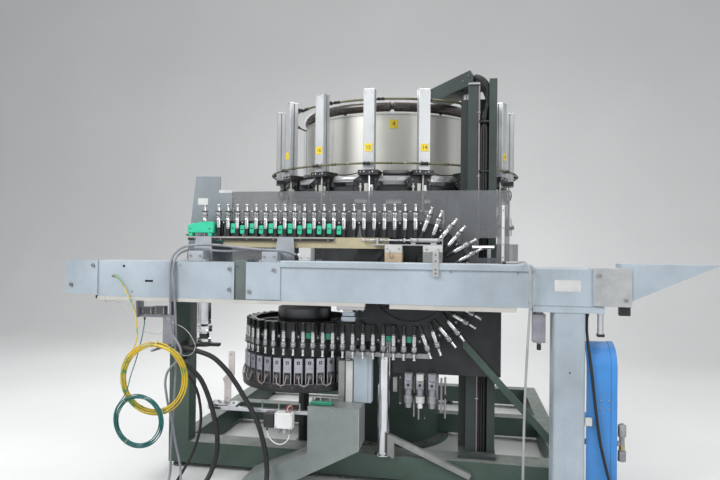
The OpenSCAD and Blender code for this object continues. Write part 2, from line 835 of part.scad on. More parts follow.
// Half of a bottle-shaped cavity as a turned outline
module bottle() {
    z0 = mould_z[0] + 24;
    z1 = mould_z[1];
    translate([station_r, 0, 0]) rotate_extrude() polygon([
        [0, z0], [34, z0], [38, z0 + 6], [38, z0 + 190], [32, z0 + 230], [24, z0 + 290], [15, z0 + 330], [14, z1 + 1],
        [0, z1 + 1]
    ]);
}

// One mould half, side +1 or -1, with its hinge lugs
module mould_half(side, lugs) {
    difference() {
        union() {
            slab([mould_in, mould_out], side > 0 ? [0.15, mould_half_w] : [-mould_half_w, -0.15], mould_z);
            for (z = lugs) {
                translate([hinge_in, 0, 0]) bar_z(24, z);
                slab([hinge_in, mould_in + 1], side > 0 ? [6, 24] : [-24, -6], z);
            }
        }
        bottle();
        translate([hinge_in, 0, 0]) bar_z(pin_hole_r + run_gap, [mould_z[0] - 1, mould_z[1] + 1]);
    }
}

lugs_left = [[mould_z[0] + 20, mould_z[0] + 80], [mould_z[0] + 220, mould_z[0] + 280]];
lugs_right = [[mould_z[0] + 80 + seat, mould_z[0] + 140], [mould_z[0] + 280 + seat, mould_z[0] + 340]];

// Closed moulds of every station but the front one, and all the hinge pins with their feet
module mould_sets() {
    z0 = table_z + table_t + 34 + 2 * run_gap;
    color("#a9adb0") {
        for (k = [1:stations - 1]) at_station(k) {
            mould_half(1, lugs_left);
            mould_half(-1, lugs_right);
        }
        each_station() {
            translate([hinge_in, 0, 0]) bar_z(pin_hole_r, [z0, mould_z[1] + 20]);
            slab([frame_in + 74, table_r - 16], [-30, 30], [z0, mould_z[0] - 1]);
            slab([frame_in + 46 + run_gap, hinge_in + 16], [-20, 20], [mould_z[1] + 20, mould_z[1] + 50]);
        }
    }
}

module mould_left() {
    color("#b4b8bb") at_station(0) mould_half(1, lugs_left);
}

module mould_right() {
    color("#b4b8bb") at_station(0) mould_half(-1, lugs_right);
}

// Silver ring that the stretch units stand round
module base_ring() {
    color("#b8bcbe") difference() {
        bar_z(ring_out, [base_ring_z, drum_z]);
        bar_z(drum_r - 60, [base_ring_z - 1, drum_z + 1]);
    }
}

// Stainless drum with its raised top cover
module drum() {
    color("#c6c8c7") {
        difference() {
            bar_z(drum_r, [drum_z, drum_top]);
            bar_z(drum_r - drum_wall, [drum_z - 1, drum_top - drum_wall]);
        }
        bar_z(120, [drum_top, drum_top + 30]);
        bar_z(48, [drum_top + 30, drum_top + 60]);
    }
}

pipe_run = drum_r - 23;
pipe_z = drum_top + pipe_r + 14;
pipe_turn = station_turn - 90 + 9;

// Dark air pipe round the top of the drum in two halves, with a thin union at each joint
module air_manifold() {
    gap = 24;
    color("#4a4640") {
        difference() {
            rotate_extrude() translate([pipe_run, pipe_z]) circle(r = pipe_r);
            for (a = [pipe_turn, pipe_turn + 180]) rotate([0, 0, a])
                slab([pipe_run - 60, pipe_run + 60], [-gap, gap], [pipe_z - 60, pipe_z + 60]);
        }
        for (a = [pipe_turn, pipe_turn + 180]) rotate([0, 0, a]) translate([pipe_run, 0, pipe_z]) {
            bar_y(15, [-gap, gap]);
            bar_y(24, [-6, 6]);
        }
        for (a = [pipe_turn + 30:60:pipe_turn + 330]) rotate([0, 0, a]) translate([pipe_run - 8, 0, 0])
            bar_z(12, [drum_top, pipe_z - 20]);
    }
}

// Outline of a stretch unit's extrusion with its slots
module unit_outline() {
    slot = 10;
    difference() {
        square([unit_d, unit_w], center = true);
        for (s = [-1, 1]) {
            translate([0, s * unit_w / 2]) square([slot, 14], center = true);
            translate([0, s * (unit_w / 2 - 9)]) square([slot + 10, 6], center = true);
            translate([-unit_d / 2, s * unit_w / 4]) square([12, slot], center = true);
        }
    }
}

// White stretch units with their end caps and top fittings
module stretch_units() {
    top = unit_z + unit_h;
    color("#e3e6e6") each_station() translate([station_r, 0, 0]) {
        translate([0, 0, unit_z + 10]) linear_extrude(unit_h - 20) unit_outline();
        slab([-unit_d / 2, unit_d / 2], [-unit_w / 2, unit_w / 2], [unit_z, unit_z + 10]);
        slab([-unit_d / 2, unit_d / 2], [-unit_w / 2, unit_w / 2], [top - 10, top]);
        translate([-12, 16, 0]) bar_z(9, [top, top + 18]);
        translate([14, -14, 0]) bar_z(6, [top, top + 10]);
    }
}

// Black foot bracket of every station, its sides sloping in, and the ring below the silver one
module foot_brackets() {
    top = unit_z;
    color("#222426") {
        each_station() {
            difference() {
                slab([ring_out - 60, station_r + unit_d / 2], [-80, 74], [drum_z + run_gap, top]);
                translate([station_r, 0, 0]) bar_z(rod_r + 1, [drum_z - 1, top + 1]);
            }
            plate_yz([
                [-80, drum_z + run_gap], [-130, drum_z - 34], [-130, drum_z - 60], [-84, drum_z - 96],
                [-60, drum_z - 130], [52, drum_z - 130], [57, drum_z - 36], [74, drum_z + run_gap]
            ], [ring_out + seat, ring_out + 26]);
        }
        difference() {
            bar_z(ring_out - 8, [base_ring_z - 106, base_ring_z - 36 - 2 * run_gap]);
            bar_z(ring_out - 88, [base_ring_z - 107, base_ring_z - 35]);
        }
    }
}

// Yellow number plates, bare
module number_plates() {
    x = station_r + unit_d / 2;
    color("#e6c61e") each_station() slab([x, x + 3], [-30, 30], [unit_z + 138, unit_z + 194]);
}

rod_r = 8;

// Blow nozzles in the consoles' arms, with the blocks on the brackets and the other stations' rods
module nozzles() {
    z = nozzle_z + 25 + run_gap;
    color("#c9ccce") {
        each_station() {
            translate([station_r, 0, 0]) difference() {
                union() {
                    bar_z(nozzle_r, [nozzle_z - 56, z + 58]);
                    bar_z(nozzle_r + 13, [z, z + 14]);
                    bar_z(nozzle_r - 7, [z + 58, z + 82]);
                }
                bar_z(rod_r + run_gap, [nozzle_z - 57, z + 83]);
            }
            slab([ring_out + 26 + run_gap, ring_out + 40], [-40, -13], [drum_z - 124, drum_z - 60]);
            translate([ring_out + 33, -70, 0]) bar_z(7, [drum_z - 124, drum_z - 58]);
            slab([ring_out + 26 + run_gap, ring_out + 40], [-80, -60], [drum_z - 90, drum_z - 78]);
        }
        for (k = [1:stations - 1]) at_station(k) translate([station_r, 0, 0]) bar_z(rod_r - 1, [rod_z, unit_z]);
    }
}

rod_z = mould_z[1] + 60;

// Stretch rod of the front station
module stretch_rod() {
    color("#dfe2e3") at_station(0) translate([station_r, 0, 0]) bar_z(rod_r, [rod_z, unit_z - seat]);
}

// Hose rings round the stations, with their black unions and clips
module hose_rings() {
    hi_r = ring_out - 50;
    hi_z = unit_z + unit_h - 46;
    lo_r = station_r + 66;
    lo_z = unit_z + 44;
    color("#4d4b2f") {
        rotate_extrude() translate([hi_r, hi_z]) circle(r = 9, $fn = 24);
        rotate_extrude() translate([lo_r, lo_z]) circle(r = 8, $fn = 24);
        each_station() {
            slab([hi_r - 14, station_r - unit_d / 2], [-16, 16], [hi_z - 14, hi_z + 14]);
            slab([station_r + unit_d / 2, lo_r + 12], [-11, 11], [lo_z - 13, lo_z + 13]);
        }
    }
}

duct_top = 585;
duct_y = [front_y + 60, inner_y - seat];

// Grey sheet duct that slopes down to the left
module lower_duct() {
    color("#7d868a") plate_xz([
        [-408, duct_top], [-51, duct_top], [-51, 300], [-606, 10], [-900, 10], [-868, 56], [-408, 256]
    ], duct_y);
}

// Plates and rail that guide the lower run, the silver bar with its strap, and the diagonal stay
module wheel_supports() {
    rail_z = [low_z - tip_h + 10, low_z - tip_h + 45];
    y1 = chain_y + disc_r + 18;
    bar_y0 = duct_y[0];
    color("#a3acb6") {
        slab([-180, 420], [y1 - 10, y1], rail_z);
        slab([-121, 9], [y1, y1 + 70], [duct_top, rail_z[1]]);
        slab([-178, -128], [y1, y1 + 40], [duct_top, rail_z[0] - 40]);
        slab([-231, -186], [y1, y1 + 40], [duct_top, rail_z[0] - 40]);
        slab([-1139, -408], [bar_y0, bar_y0 + 40], [duct_top - 60, duct_top - 36]);
        for (x = [-740, -620]) translate([x, bar_y0 + 20, 0]) bar_z(6, [duct_top - 36, duct_top + 12]);
        slab([-1139, -929], [bar_y0, bar_y0 + 110], [duct_top - 36, duct_top - 22]);
        plate_xz([
            [-1050, duct_top - 22], [-1000, duct_top - 22], [-1000, duct_top + 105], [-975, duct_top + 175],
            [-975, duct_top + 340], [-1020, duct_top + 340], [-1020, duct_top + 185], [-1063, duct_top + 142],
            [-1050, duct_top + 105]
        ], [bar_y0 + 80, bar_y0 + 90]);
        plate_xz([
            [146, 200], [170, 200], [170, 310], [690, 90], [704, 124], [142, 362], [120, 362], [120, 212],
            [146, 212]
        ], [inner_y - 44, inner_y - seat]);
    }
}

// Dark plate under the inner beam
module back_plate() {
    y = inner_y + 28;
    color("#3a3b3e") slab([146, 901], [y, y + plate_t], [790, inner_z]);
}

// Blue side guard, its top bent back, on a clamp at the column
module side_guard() {
    x = [column_x + column_w + 12, column_x + column_w + 196];
    y = front_y + 30;
    bend = 150;
    top = 1090;
    t = 4;
    color("#2f8fd6") {
        slab(x, [y, y + t], [60, top - bend]);
        translate([x[0], y + bend, top - bend]) rotate([90, 0, 90]) linear_extrude(x[1] - x[0]) intersection() {
            difference() {
                circle(r = bend);
                circle(r = bend - t);
            }
            translate([-bend, 0]) square([bend, bend]);
        }
        slab([column_x + column_w, x[0]], [y - 10, y + 14], [600, 660]);
        slab([x[0], x[0] + 30], [y + t, y + 14], [600, 660]);
    }
}

// White junction box on the silver bar and grey switch under the lip rail
module electrical_boxes() {
    lip_z = beam_z - 24;
    color("#c5cacd") {
        slab([-626, -500], [duct_y[0] - 60, duct_y[0]], [duct_top - 146, duct_top - 40]);
        for (x = [-600, -563, -526]) translate([x, duct_y[0] - 30, 0]) bar_z(10, [duct_top - 186, duct_top - 146]);
        slab([-706, -632], [duct_y[0] - 58, duct_y[0]], [duct_top - 146, duct_top - 50]);
        slab([head_end + 162, head_end + 228], [front_y + 20, front_y + 60], [beam_z - 34, beam_z + 30]);
        slab([-168, -72], [front_y + 2, front_y + 52], [lip_z - 101, lip_z - 68]);
        slab([-162, -78], [front_y + 4, front_y + 50], [lip_z - 68, lip_z - 37]);
        slab([-150, -90], [front_y + 6, front_y + 30], [lip_z - 37, lip_z]);
    }
}

// Valve block by the column, coil valves under the left beam and air units under the back plate
module pneumatic_valves() {
    plate_y = inner_y + 28;
    color("#8f8f9a") {
        slab([head_x + 6, head_x + 84], [front_y + 30, front_y + 110], [foot_flange_z - 200, foot_flange_z - 20]);
        slab([head_x + 20, head_x + 70], [front_y + 45, front_y + 95], [foot_flange_z - 20, foot_flange_z]);
        translate([head_x + 48, front_y + 70, 0]) bar_z(12, [foot_flange_z - 250, foot_flange_z - 200]);
        translate([head_end + 52, front_y + 30, 0]) bar_z(18, [foot_flange_z - 128, foot_flange_z]);
        slab([-1722, -1520], [back_y + 10, back_y + 60], [beam_z - 160, beam_z - 140]);
        slab([-1716, -1630], [back_y + 10, back_y + 60], [beam_z - 140, beam_z - 85]);
        slab([-1610, -1529], [back_y + 10, back_y + 60], [beam_z - 140, beam_z - 78]);
        slab([-1735, -1722], [back_y - 30, back_y + 60], [beam_z - 160, beam_z]);
        slab([-1540, -1452], [back_y + 10, back_y + 16], [940, beam_z - 140]);
        translate([-1480, 0, 755 + 235 - 30 - 8 - seat]) bar_y(8, [-1612, back_y + 12]);
        translate([head_end + 189, front_y + 50, 0]) {
            bar_z(24, [372, 430]);
            bar_z(15, [430, 520]);
            bar_z(24, [520, 590]);
        }
        slab([column_x + column_w, head_end + 189], [front_y + 40, front_y + 60], [460, 490]);
        for (x = [264, 346, 430]) {
            slab([x - 26, x + 26], [plate_y - 56, plate_y], [690, 800]);
            translate([x, plate_y - 28, 0]) bar_z(22, [560, 690]);
            translate([x, plate_y - 28, 0]) bar_z(30, [590, 640]);
        }
    }
}

// Socket heads on the bolted plates: place, face
function bolt_places() = [
    [beam_left_x - end_plate_w + 46, beam_z + 81, 8], [beam_left_x - 34, beam_top - 37, 8],
    [splice_x - 34, beam_top - 46, 0], [splice_x - 34, beam_z + 70, 0], [lip_x - 46, beam_top - 48, 8],
    [beam_right_x + 24, beam_z + 60, 8], [head_end + 34, beam_top - 44, 16],
    [head_end + right_plate_w - 34, beam_z + 66, 16]
];

module beam_bolts() {
    color("#8a8f92") for (b = bolt_places()) translate([b[0], 0, b[1]]) difference() {
        bar_y(13, [front_y - b[2] - 11, front_y - b[2]]);
        translate([0, front_y - b[2] - 12, 0]) rotate([-90, 0, 0]) cylinder(r = 7, h = 7, $fn = 6);
    }
}

// Cords: routes are round points chosen by hand; a smooth curve runs through them
function spline_at(p, t) =
    let (
        n = len(p) - 1,
        i = min(floor(t), n - 1),
        u = t - i,
        a = p[max(i - 1, 0)],
        b = p[i],
        c = p[i + 1],
        d = p[min(i + 2, n)]
    )
    0.5 * (2 * b + (c - a) * u + (2 * a - 5 * b + 4 * c - d) * u * u + (3 * b - a - 3 * c + d) * u * u * u);

function along(p, m) = [for (j = [0:(len(p) - 1) * m]) spline_at(p, j / m)];

function unit(v) = v / norm(v);

function heading(q, i) = unit(q[min(i + 1, len(q) - 1)] - q[max(i - 1, 0)]);

// Side directions carried from ring to ring so that the tube does not twist
function sides(q, i = 0, s = [1, 0, 0], out = []) =
    i == len(q) ? out :
    let (h = heading(q, i), raw = s - h * (s * h), keep = norm(raw) > 0.05 ? unit(raw) : unit(cross(h, [0, 0, 1])))
    sides(q, i + 1, keep, concat(out, [keep]));

module tube(p, m, r, n) {
    q = along(p, m);
    s = sides(q);
    pts = [
        for (i = [0:len(q) - 1]) let (h = heading(q, i), side = s[i], up = cross(h, side))
            for (j = [0:n - 1]) q[i] + r * (cos(360 * j / n) * side + sin(360 * j / n) * up)
    ];
    faces = concat(
        [[for (j = [0:n - 1]) j]],
        [
            for (i = [0:len(q) - 2], j = [0:n - 1])
                [i * n + j, (i + 1) * n + j, (i + 1) * n + (j + 1) % n, i * n + (j + 1) % n]
        ],
        [[for (j = [n - 1:-1:0]) (len(q) - 1) * n + j]]
    );
    polyhedron(pts, faces, convexity = 6);
}

conduit_r = 9;
conduit_a_path = [
    [-490.3, -1404, 1622], [-508, -1404.444, 1623.333], [-530, -1408, 1634], [-583, -1424, 1650], [-640, -1439, 1657],
    [-740, -1442, 1659], [-883, -1442, 1670], [-1032, -1442, 1685], [-1117, -1442, 1690],
    [-1230, -1442, 1688], [-1300, -1446, 1681], [-1352, -1467, 1658], [-1386, -1500, 1612],
    [-1394, -1520, 1545], [-1398, -1524, 1455], [-1394, -1523, 1368], [-1392, -1523, 1250],
    [-1387, -1528, 1150], [-1366, -1533, 1064], [-1341, -1533, 1022], [-1318, -1533, 988],
    [-1304, -1533, 956], [-1301, -1533, 924], [-1312, -1533, 892], [-1338, -1533, 862], [-1372, -1533, 832],
    [-1402, -1533, 788], [-1416, -1533, 720], [-1407, -1533, 640], [-1391, -1533, 560], [-1356, -1533, 430],
    [-1332, -1533, 300], [-1306, -1534, 200], [-1290, -1540, 130], [-1276, -1560, 70], [-1266, -1600, 28],
    [-1260, -1650, 16.5], [-1258, -1700, 16.5]
];
conduit_b_path = [
    [-490.3, -1378, 1615], [-508, -1378.444, 1616.222], [-530, -1382, 1626], [-583, -1398, 1645], [-640, -1415, 1658],
    [-740, -1418, 1658], [-883, -1418, 1650], [-1032, -1418, 1646], [-1117, -1418, 1649],
    [-1180, -1418, 1656], [-1290, -1420, 1656], [-1318, -1436, 1648], [-1352, -1471, 1625],
    [-1368, -1508, 1582], [-1372, -1524, 1520], [-1371, -1524, 1450], [-1365, -1521, 1369],
    [-1360, -1517, 1280], [-1358, -1505, 1150], [-1358, -1500, 1046], [-1359, -1500, 940],
    [-1354, -1500, 779], [-1364, -1500, 596], [-1374, -1500, 427], [-1382, -1500, 280], [-1382, -1504, 180],
    [-1376, -1520, 100], [-1368, -1560, 45], [-1362, -1610, 18], [-1360, -1660, 16.5], [-1360, -1700, 16.5]
];
hose_1_path = [
    [-1424, -1199.3, 950], [-1424, -1260, 951], [-1424, -1325, 953], [-1413, -1386, 956],
    [-1381, -1435, 958], [-1332, -1469, 957], [-1274, -1482, 952], [-1200, -1484, 940], [-1085, -1484, 902],
    [-985, -1484, 818], [-910, -1484, 725], [-840, -1486, 622], [-770, -1488, 508], [-725, -1492, 405],
    [-693, -1496, 290], [-674, -1506, 190], [-664, -1534, 104], [-656, -1590, 48], [-650, -1655, 25],
    [-646, -1720, 22]
];
hose_2_path = [
    [-1424, -1199.3, 892], [-1424, -1260, 892], [-1424, -1320, 891], [-1413, -1380, 887],
    [-1383, -1429, 877], [-1338, -1460, 860], [-1284, -1474, 832], [-1228, -1478, 794], [-1174, -1478, 738],
    [-1124, -1478, 640], [-1078, -1480, 509], [-1050, -1482, 384], [-1044, -1484, 280], [-1054, -1496, 190],
    [-1072, -1528, 110], [-1092, -1585, 52], [-1106, -1655, 26], [-1112, -1720, 22]
];
hose_3_path = [
    [-1424, -1199.3, 834], [-1423, -1290, 832], [-1404, -1372, 822], [-1350, -1420, 794],
    [-1280, -1442, 742], [-1220, -1450, 660], [-1190, -1452, 550], [-1184, -1452, 440], [-1198, -1454, 340],
    [-1224, -1460, 250], [-1256, -1474, 170], [-1284, -1506, 105], [-1304, -1560, 52], [-1312, -1620, 22],
    [-1312, -1700, 17]
];
hose_4_path = [
    [1416, -1430, 1287.7], [1414, -1434, 1230], [1412, -1452, 1160], [1416, -1474, 1085],
    [1427, -1485, 985], [1440, -1488, 875], [1460, -1490, 689], [1484, -1492, 505], [1509, -1494, 383],
    [1536, -1500, 270], [1562, -1516, 170], [1584, -1550, 90], [1600, -1600, 36], [1606, -1650, 17],
    [1608, -1700, 16.5]
];
hose_grey_path = [
    [880, -1430, 1594.3], [920, -1431, 1594.6], [960, -1438, 1596], [992, -1456, 1599], [1012, -1482, 1603],
    [1022, -1502, 1603], [1032, -1526, 1594], [1042, -1545, 1574], [1049, -1554, 1540], [1054, -1554, 1470],
    [1055, -1540, 1380], [1052, -1530, 1280], [1044, -1527, 1120], [1034, -1525, 900], [1026, -1525, 650],
    [1022, -1525, 400], [1020, -1525, 240], [1022, -1532, 140], [1026, -1556, 64], [1032, -1600, 22],
    [1036, -1650, 13], [1038, -1700, 13]
];
lead_white_path = [
    [-686, -1470, 438.7], [-686, -1471, 410], [-676, -1473, 378], [-654, -1475, 350], [-622, -1476, 330],
    [-586, -1476, 326], [-552, -1474, 342], [-532, -1471, 370], [-526, -1470, 398.7]
];

// A cord's end fitting, lying on the floor past the last point of its route
module end_fitting(p, r, len) {
    tip = p[len(p) - 1];
    translate([tip[0], 0, tip[2]]) {
        bar_y(r, [tip[1] - len, tip[1] - seat]);
        bar_y(r - 3, [tip[1] - len - 12, tip[1] - len]);
    }
}

module conduit_a() {
    color("#8c8f96") {
        tube(conduit_a_path, 2, conduit_r, 8);
        end_fitting(conduit_a_path, 15, 50);
    }
}

module conduit_b() {
    color("#8c8f96") {
        tube(conduit_b_path, 2, conduit_r, 8);
        end_fitting(conduit_b_path, 15, 50);
    }
}

// Coil of yellow and green wire, hung in front of the left beam's foot
module earth_coil() {
    color("#c8b52a") translate([-1480, -1574.3, 755]) rotate([90, 0, 0]) rotate_extrude() translate([235, 0]) circle(r = 30);
}

module teal_coil() {
    color("#1f5f5a") translate([-1560, -1630.6, 470]) rotate([90, 0, 0]) rotate_extrude() translate([170, 0]) circle(r = 26);
}

// Four black hoses: three out of the left frame column, one out of the head box
module hose_black() {
    color("#141414") {
        tube(hose_1_path, 3, 17, 12);
        end_fitting(hose_1_path, 21, 60);
        tube(hose_2_path, 3, 17, 12);
        end_fitting(hose_2_path, 21, 60);
        tube(hose_3_path, 2, 10, 8);
        end_fitting(hose_3_path, 15, 50);
        tube(hose_4_path, 2, 9, 8);
        end_fitting(hose_4_path, 15, 50);
    }
}

// Thin grey hose over the beam's edge, and the white lead of the junction box
module hose_grey() {
    start = hose_grey_path[0];
    color("#9b9d9a") {
        tube(hose_grey_path, 2, 8, 8);
        end_fitting(hose_grey_path, 12, 50);
        translate([0, start[1], start[2]]) bar_x(8.2, [start[0] - 30, start[0] - seat]);
        slab([start[0] - 70, start[0] - 30], [start[1] - 20, start[1] + 20], [beam_top + lip_h, beam_top + lip_h + 22]);
        tube(lead_white_path, 2, 4, 8);
    }
}

beam_left();
beam_right();
splice_post();
bolted_plates();
under_rails();
head_box();
right_column();
inner_beam();
base_frame();
round_column();
gantry_post();
gantry_arm();
screen();
screen_strip();
arm_plate();
rail_brackets();
guide_rail();
guide_bar();
chain_links();
ball_pins();
spindles();
green_clips();
turn_bearing();
tensioner_body();
tensioner_spring();
tensioner_rod();
turn_wheel();
loading_wheel();
gripper_fingers();
infeed_bearing();
infeed_star();
pedestal();
slewing_ring();
wheel_table();
station_frames();
mould_sets();
mould_left();
mould_right();
base_ring();
drum();
air_manifold();
stretch_units();
foot_brackets();
number_plates();
nozzles();
stretch_rod();
hose_rings();
lower_duct();
wheel_supports();
back_plate();
side_guard();
electrical_boxes();
pneumatic_valves();
beam_bolts();
conduit_a();
conduit_b();
earth_coil();
teal_coil();
hose_black();
hose_grey();
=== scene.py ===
"""Looks of the rotary stretch blow moulding machine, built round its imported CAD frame. Metres, +Z up."""
import math
import random

import bmesh
import bpy
from mathutils import Matrix, Vector


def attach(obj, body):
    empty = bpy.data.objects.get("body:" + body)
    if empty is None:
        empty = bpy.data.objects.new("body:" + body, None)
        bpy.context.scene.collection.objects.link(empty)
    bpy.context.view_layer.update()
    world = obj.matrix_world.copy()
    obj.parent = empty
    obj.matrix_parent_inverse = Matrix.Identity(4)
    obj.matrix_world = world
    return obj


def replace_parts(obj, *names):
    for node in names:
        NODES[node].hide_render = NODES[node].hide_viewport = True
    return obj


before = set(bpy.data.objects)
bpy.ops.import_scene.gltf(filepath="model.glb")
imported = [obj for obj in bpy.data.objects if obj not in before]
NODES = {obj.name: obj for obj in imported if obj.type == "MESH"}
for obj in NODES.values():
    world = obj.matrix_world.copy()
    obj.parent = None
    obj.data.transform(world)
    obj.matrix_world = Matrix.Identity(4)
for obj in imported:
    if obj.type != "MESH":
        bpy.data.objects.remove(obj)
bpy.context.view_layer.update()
scene = bpy.context.scene


# ---------------------------------------------------------------- camera, stage and light
SENSOR_MM = 36.0
PICTURE_PX = 720.0


def look(position, right, up, forward, focal_px):
    """A camera from its place and axes; focal_px is the focal length in pixels of a picture PICTURE_PX wide."""
    data = bpy.data.cameras.new("camera")
    data.sensor_width = SENSOR_MM
    data.lens = focal_px * SENSOR_MM / PICTURE_PX
    data.clip_end = 60.0
    cam = bpy.data.objects.new("camera", data)
    scene.collection.objects.link(cam)
    m = Matrix((right, up, tuple(-v for v in forward))).transposed().to_4x4()
    cam.matrix_world = Matrix.Translation(position) @ m
    scene.camera = cam
    return cam


look((0.635, -5.352, 1.700), (0.98476454, 0.17354513, 0.01099495), (-0.00934428, -0.01032567, 0.99990303),
     (-0.17364184, 0.98477178, 0.0085467), 585.0)


class Graph:
    """Short hand for building a node tree."""

    def __init__(self, tree):
        self.tree = tree
        self.tree.nodes.clear()

    def add(self, kind, inputs=None, **props):
        node = self.tree.nodes.new(kind)
        for key, value in props.items():
            setattr(node, key, value)
        for key, value in (inputs or {}).items():
            if isinstance(value, bpy.types.NodeSocket):
                self.tree.links.new(value, node.inputs[key])
            else:
                node.inputs[key].default_value = value
        return node

    def math(self, op, a, b=None, clamp=False):
        inputs = {0: a}
        if b is not None:
            inputs[1] = b
        return self.add("ShaderNodeMath", inputs, operation=op, use_clamp=clamp).outputs[0]

    def noise(self, vector, scale, detail=4.0, rough=0.55, distortion=0.0):
        return self.add("ShaderNodeTexNoise", {"Vector": vector, "Scale": scale, "Detail": detail,
                                               "Roughness": rough, "Distortion": distortion}).outputs["Fac"]

    def remap(self, value, low, high, to_low=0.0, to_high=1.0):
        return self.add("ShaderNodeMapRange", {"Value": value, "From Min": low, "From Max": high, "To Min": to_low,
                                               "To Max": to_high}).outputs[0]

    def mix(self, fac, a, b, blend="MIX"):
        node = self.tree.nodes.new("ShaderNodeMix")
        node.data_type = "RGBA"
        node.blend_type = blend
        for index, value in ((0, fac), (6, a), (7, b)):
            if isinstance(value, bpy.types.NodeSocket):
                self.tree.links.new(value, node.inputs[index])
            elif index == 0:
                node.inputs[index].default_value = value
            else:
                node.inputs[index].default_value = (*value[:3], 1.0)
        return node.outputs[2]


def build_stage():
    """Pale floor with a seamless far backdrop."""
    bm = bmesh.new()
    near, far, side, rise, radius = -9.0, 7.0, 14.0, 9.0, 3.0
    rows = [(near, 0.0)]
    rows += [(far - radius + radius * math.sin(a), radius - radius * math.cos(a))
             for a in [i * math.pi / 24 for i in range(13)]]
    rows.append((far, rise))
    left = [bm.verts.new((-side, y, z)) for y, z in rows]
    rightv = [bm.verts.new((side, y, z)) for y, z in rows]
    for i in range(len(rows) - 1):
        bm.faces.new((left[i], rightv[i], rightv[i + 1], left[i + 1]))
    me = bpy.data.meshes.new("floor")
    bm.to_mesh(me)
    bm.free()
    for p in me.polygons:
        p.use_smooth = True
    floor = bpy.data.objects.new("floor", me)
    scene.collection.objects.link(floor)
    mat = bpy.data.materials.new("floor_pale")
    mat.use_nodes = True
    g = Graph(mat.node_tree)
    pos = g.add("ShaderNodeTexCoord").outputs["Object"]
    tone = g.remap(g.noise(pos, 0.6, 3.0), 0.3, 0.7)
    colour = g.mix(tone, (0.66, 0.67, 0.67), (0.70, 0.70, 0.70))
    bsdf = g.add("ShaderNodeBsdfPrincipled", {"Base Color": colour, "Roughness": 0.75})
    g.add("ShaderNodeOutputMaterial", {"Surface": bsdf.outputs[0]})
    me.materials.append(mat)


def build_light():
    world = bpy.data.worlds.new("studio")
    scene.world = world
    world.use_nodes = True
    g = Graph(world.node_tree)
    path = g.add("ShaderNodeLightPath")
    seen = g.math("MAXIMUM", path.outputs["Is Camera Ray"], path.outputs["Is Glossy Ray"])
    up = g.add("ShaderNodeSeparateXYZ", {0: g.add("ShaderNodeTexCoord").outputs["Generated"]}).outputs[2]
    sky = g.mix(g.remap(up, -0.2, 0.9), (0.62, 0.63, 0.65), (0.98, 0.99, 1.0))
    soft = g.add("ShaderNodeBackground", {"Color": sky, "Strength": 0.60})
    plain = g.add("ShaderNodeBackground", {"Color": (0.86, 0.87, 0.88, 1.0), "Strength": 0.95})
    both = g.add("ShaderNodeMixShader", {0: seen, 1: soft.outputs[0], 2: plain.outputs[0]})
    g.add("ShaderNodeOutputWorld", {"Surface": both.outputs[0]})
    for name, place, target, size, power in (
            ("key", (-3.6, -5.2, 5.6), (0.0, -1.2, 1.4), 3.2, 330.0),
            ("fill", (4.6, -4.4, 3.6), (0.2, -1.0, 1.2), 3.4, 120.0),
            ("top", (0.2, 0.4, 6.2), (0.0, 0.0, 1.0), 4.0, 190.0),
            ("back", (-2.0, 4.6, 4.4), (0.0, 0.6, 1.6), 3.0, 120.0)):
        data = bpy.data.lights.new(name, "AREA")
        data.shape = "DISK"
        data.size = size
        data.energy = power
        lamp = bpy.data.objects.new(name, data)
        scene.collection.objects.link(lamp)
        way = Vector(target) - Vector(place)
        lamp.matrix_world = Matrix.Translation(place) @ way.to_track_quat("-Z", "Y").to_matrix().to_4x4()
    scene.view_settings.view_transform = "Standard"


build_stage()
build_light()


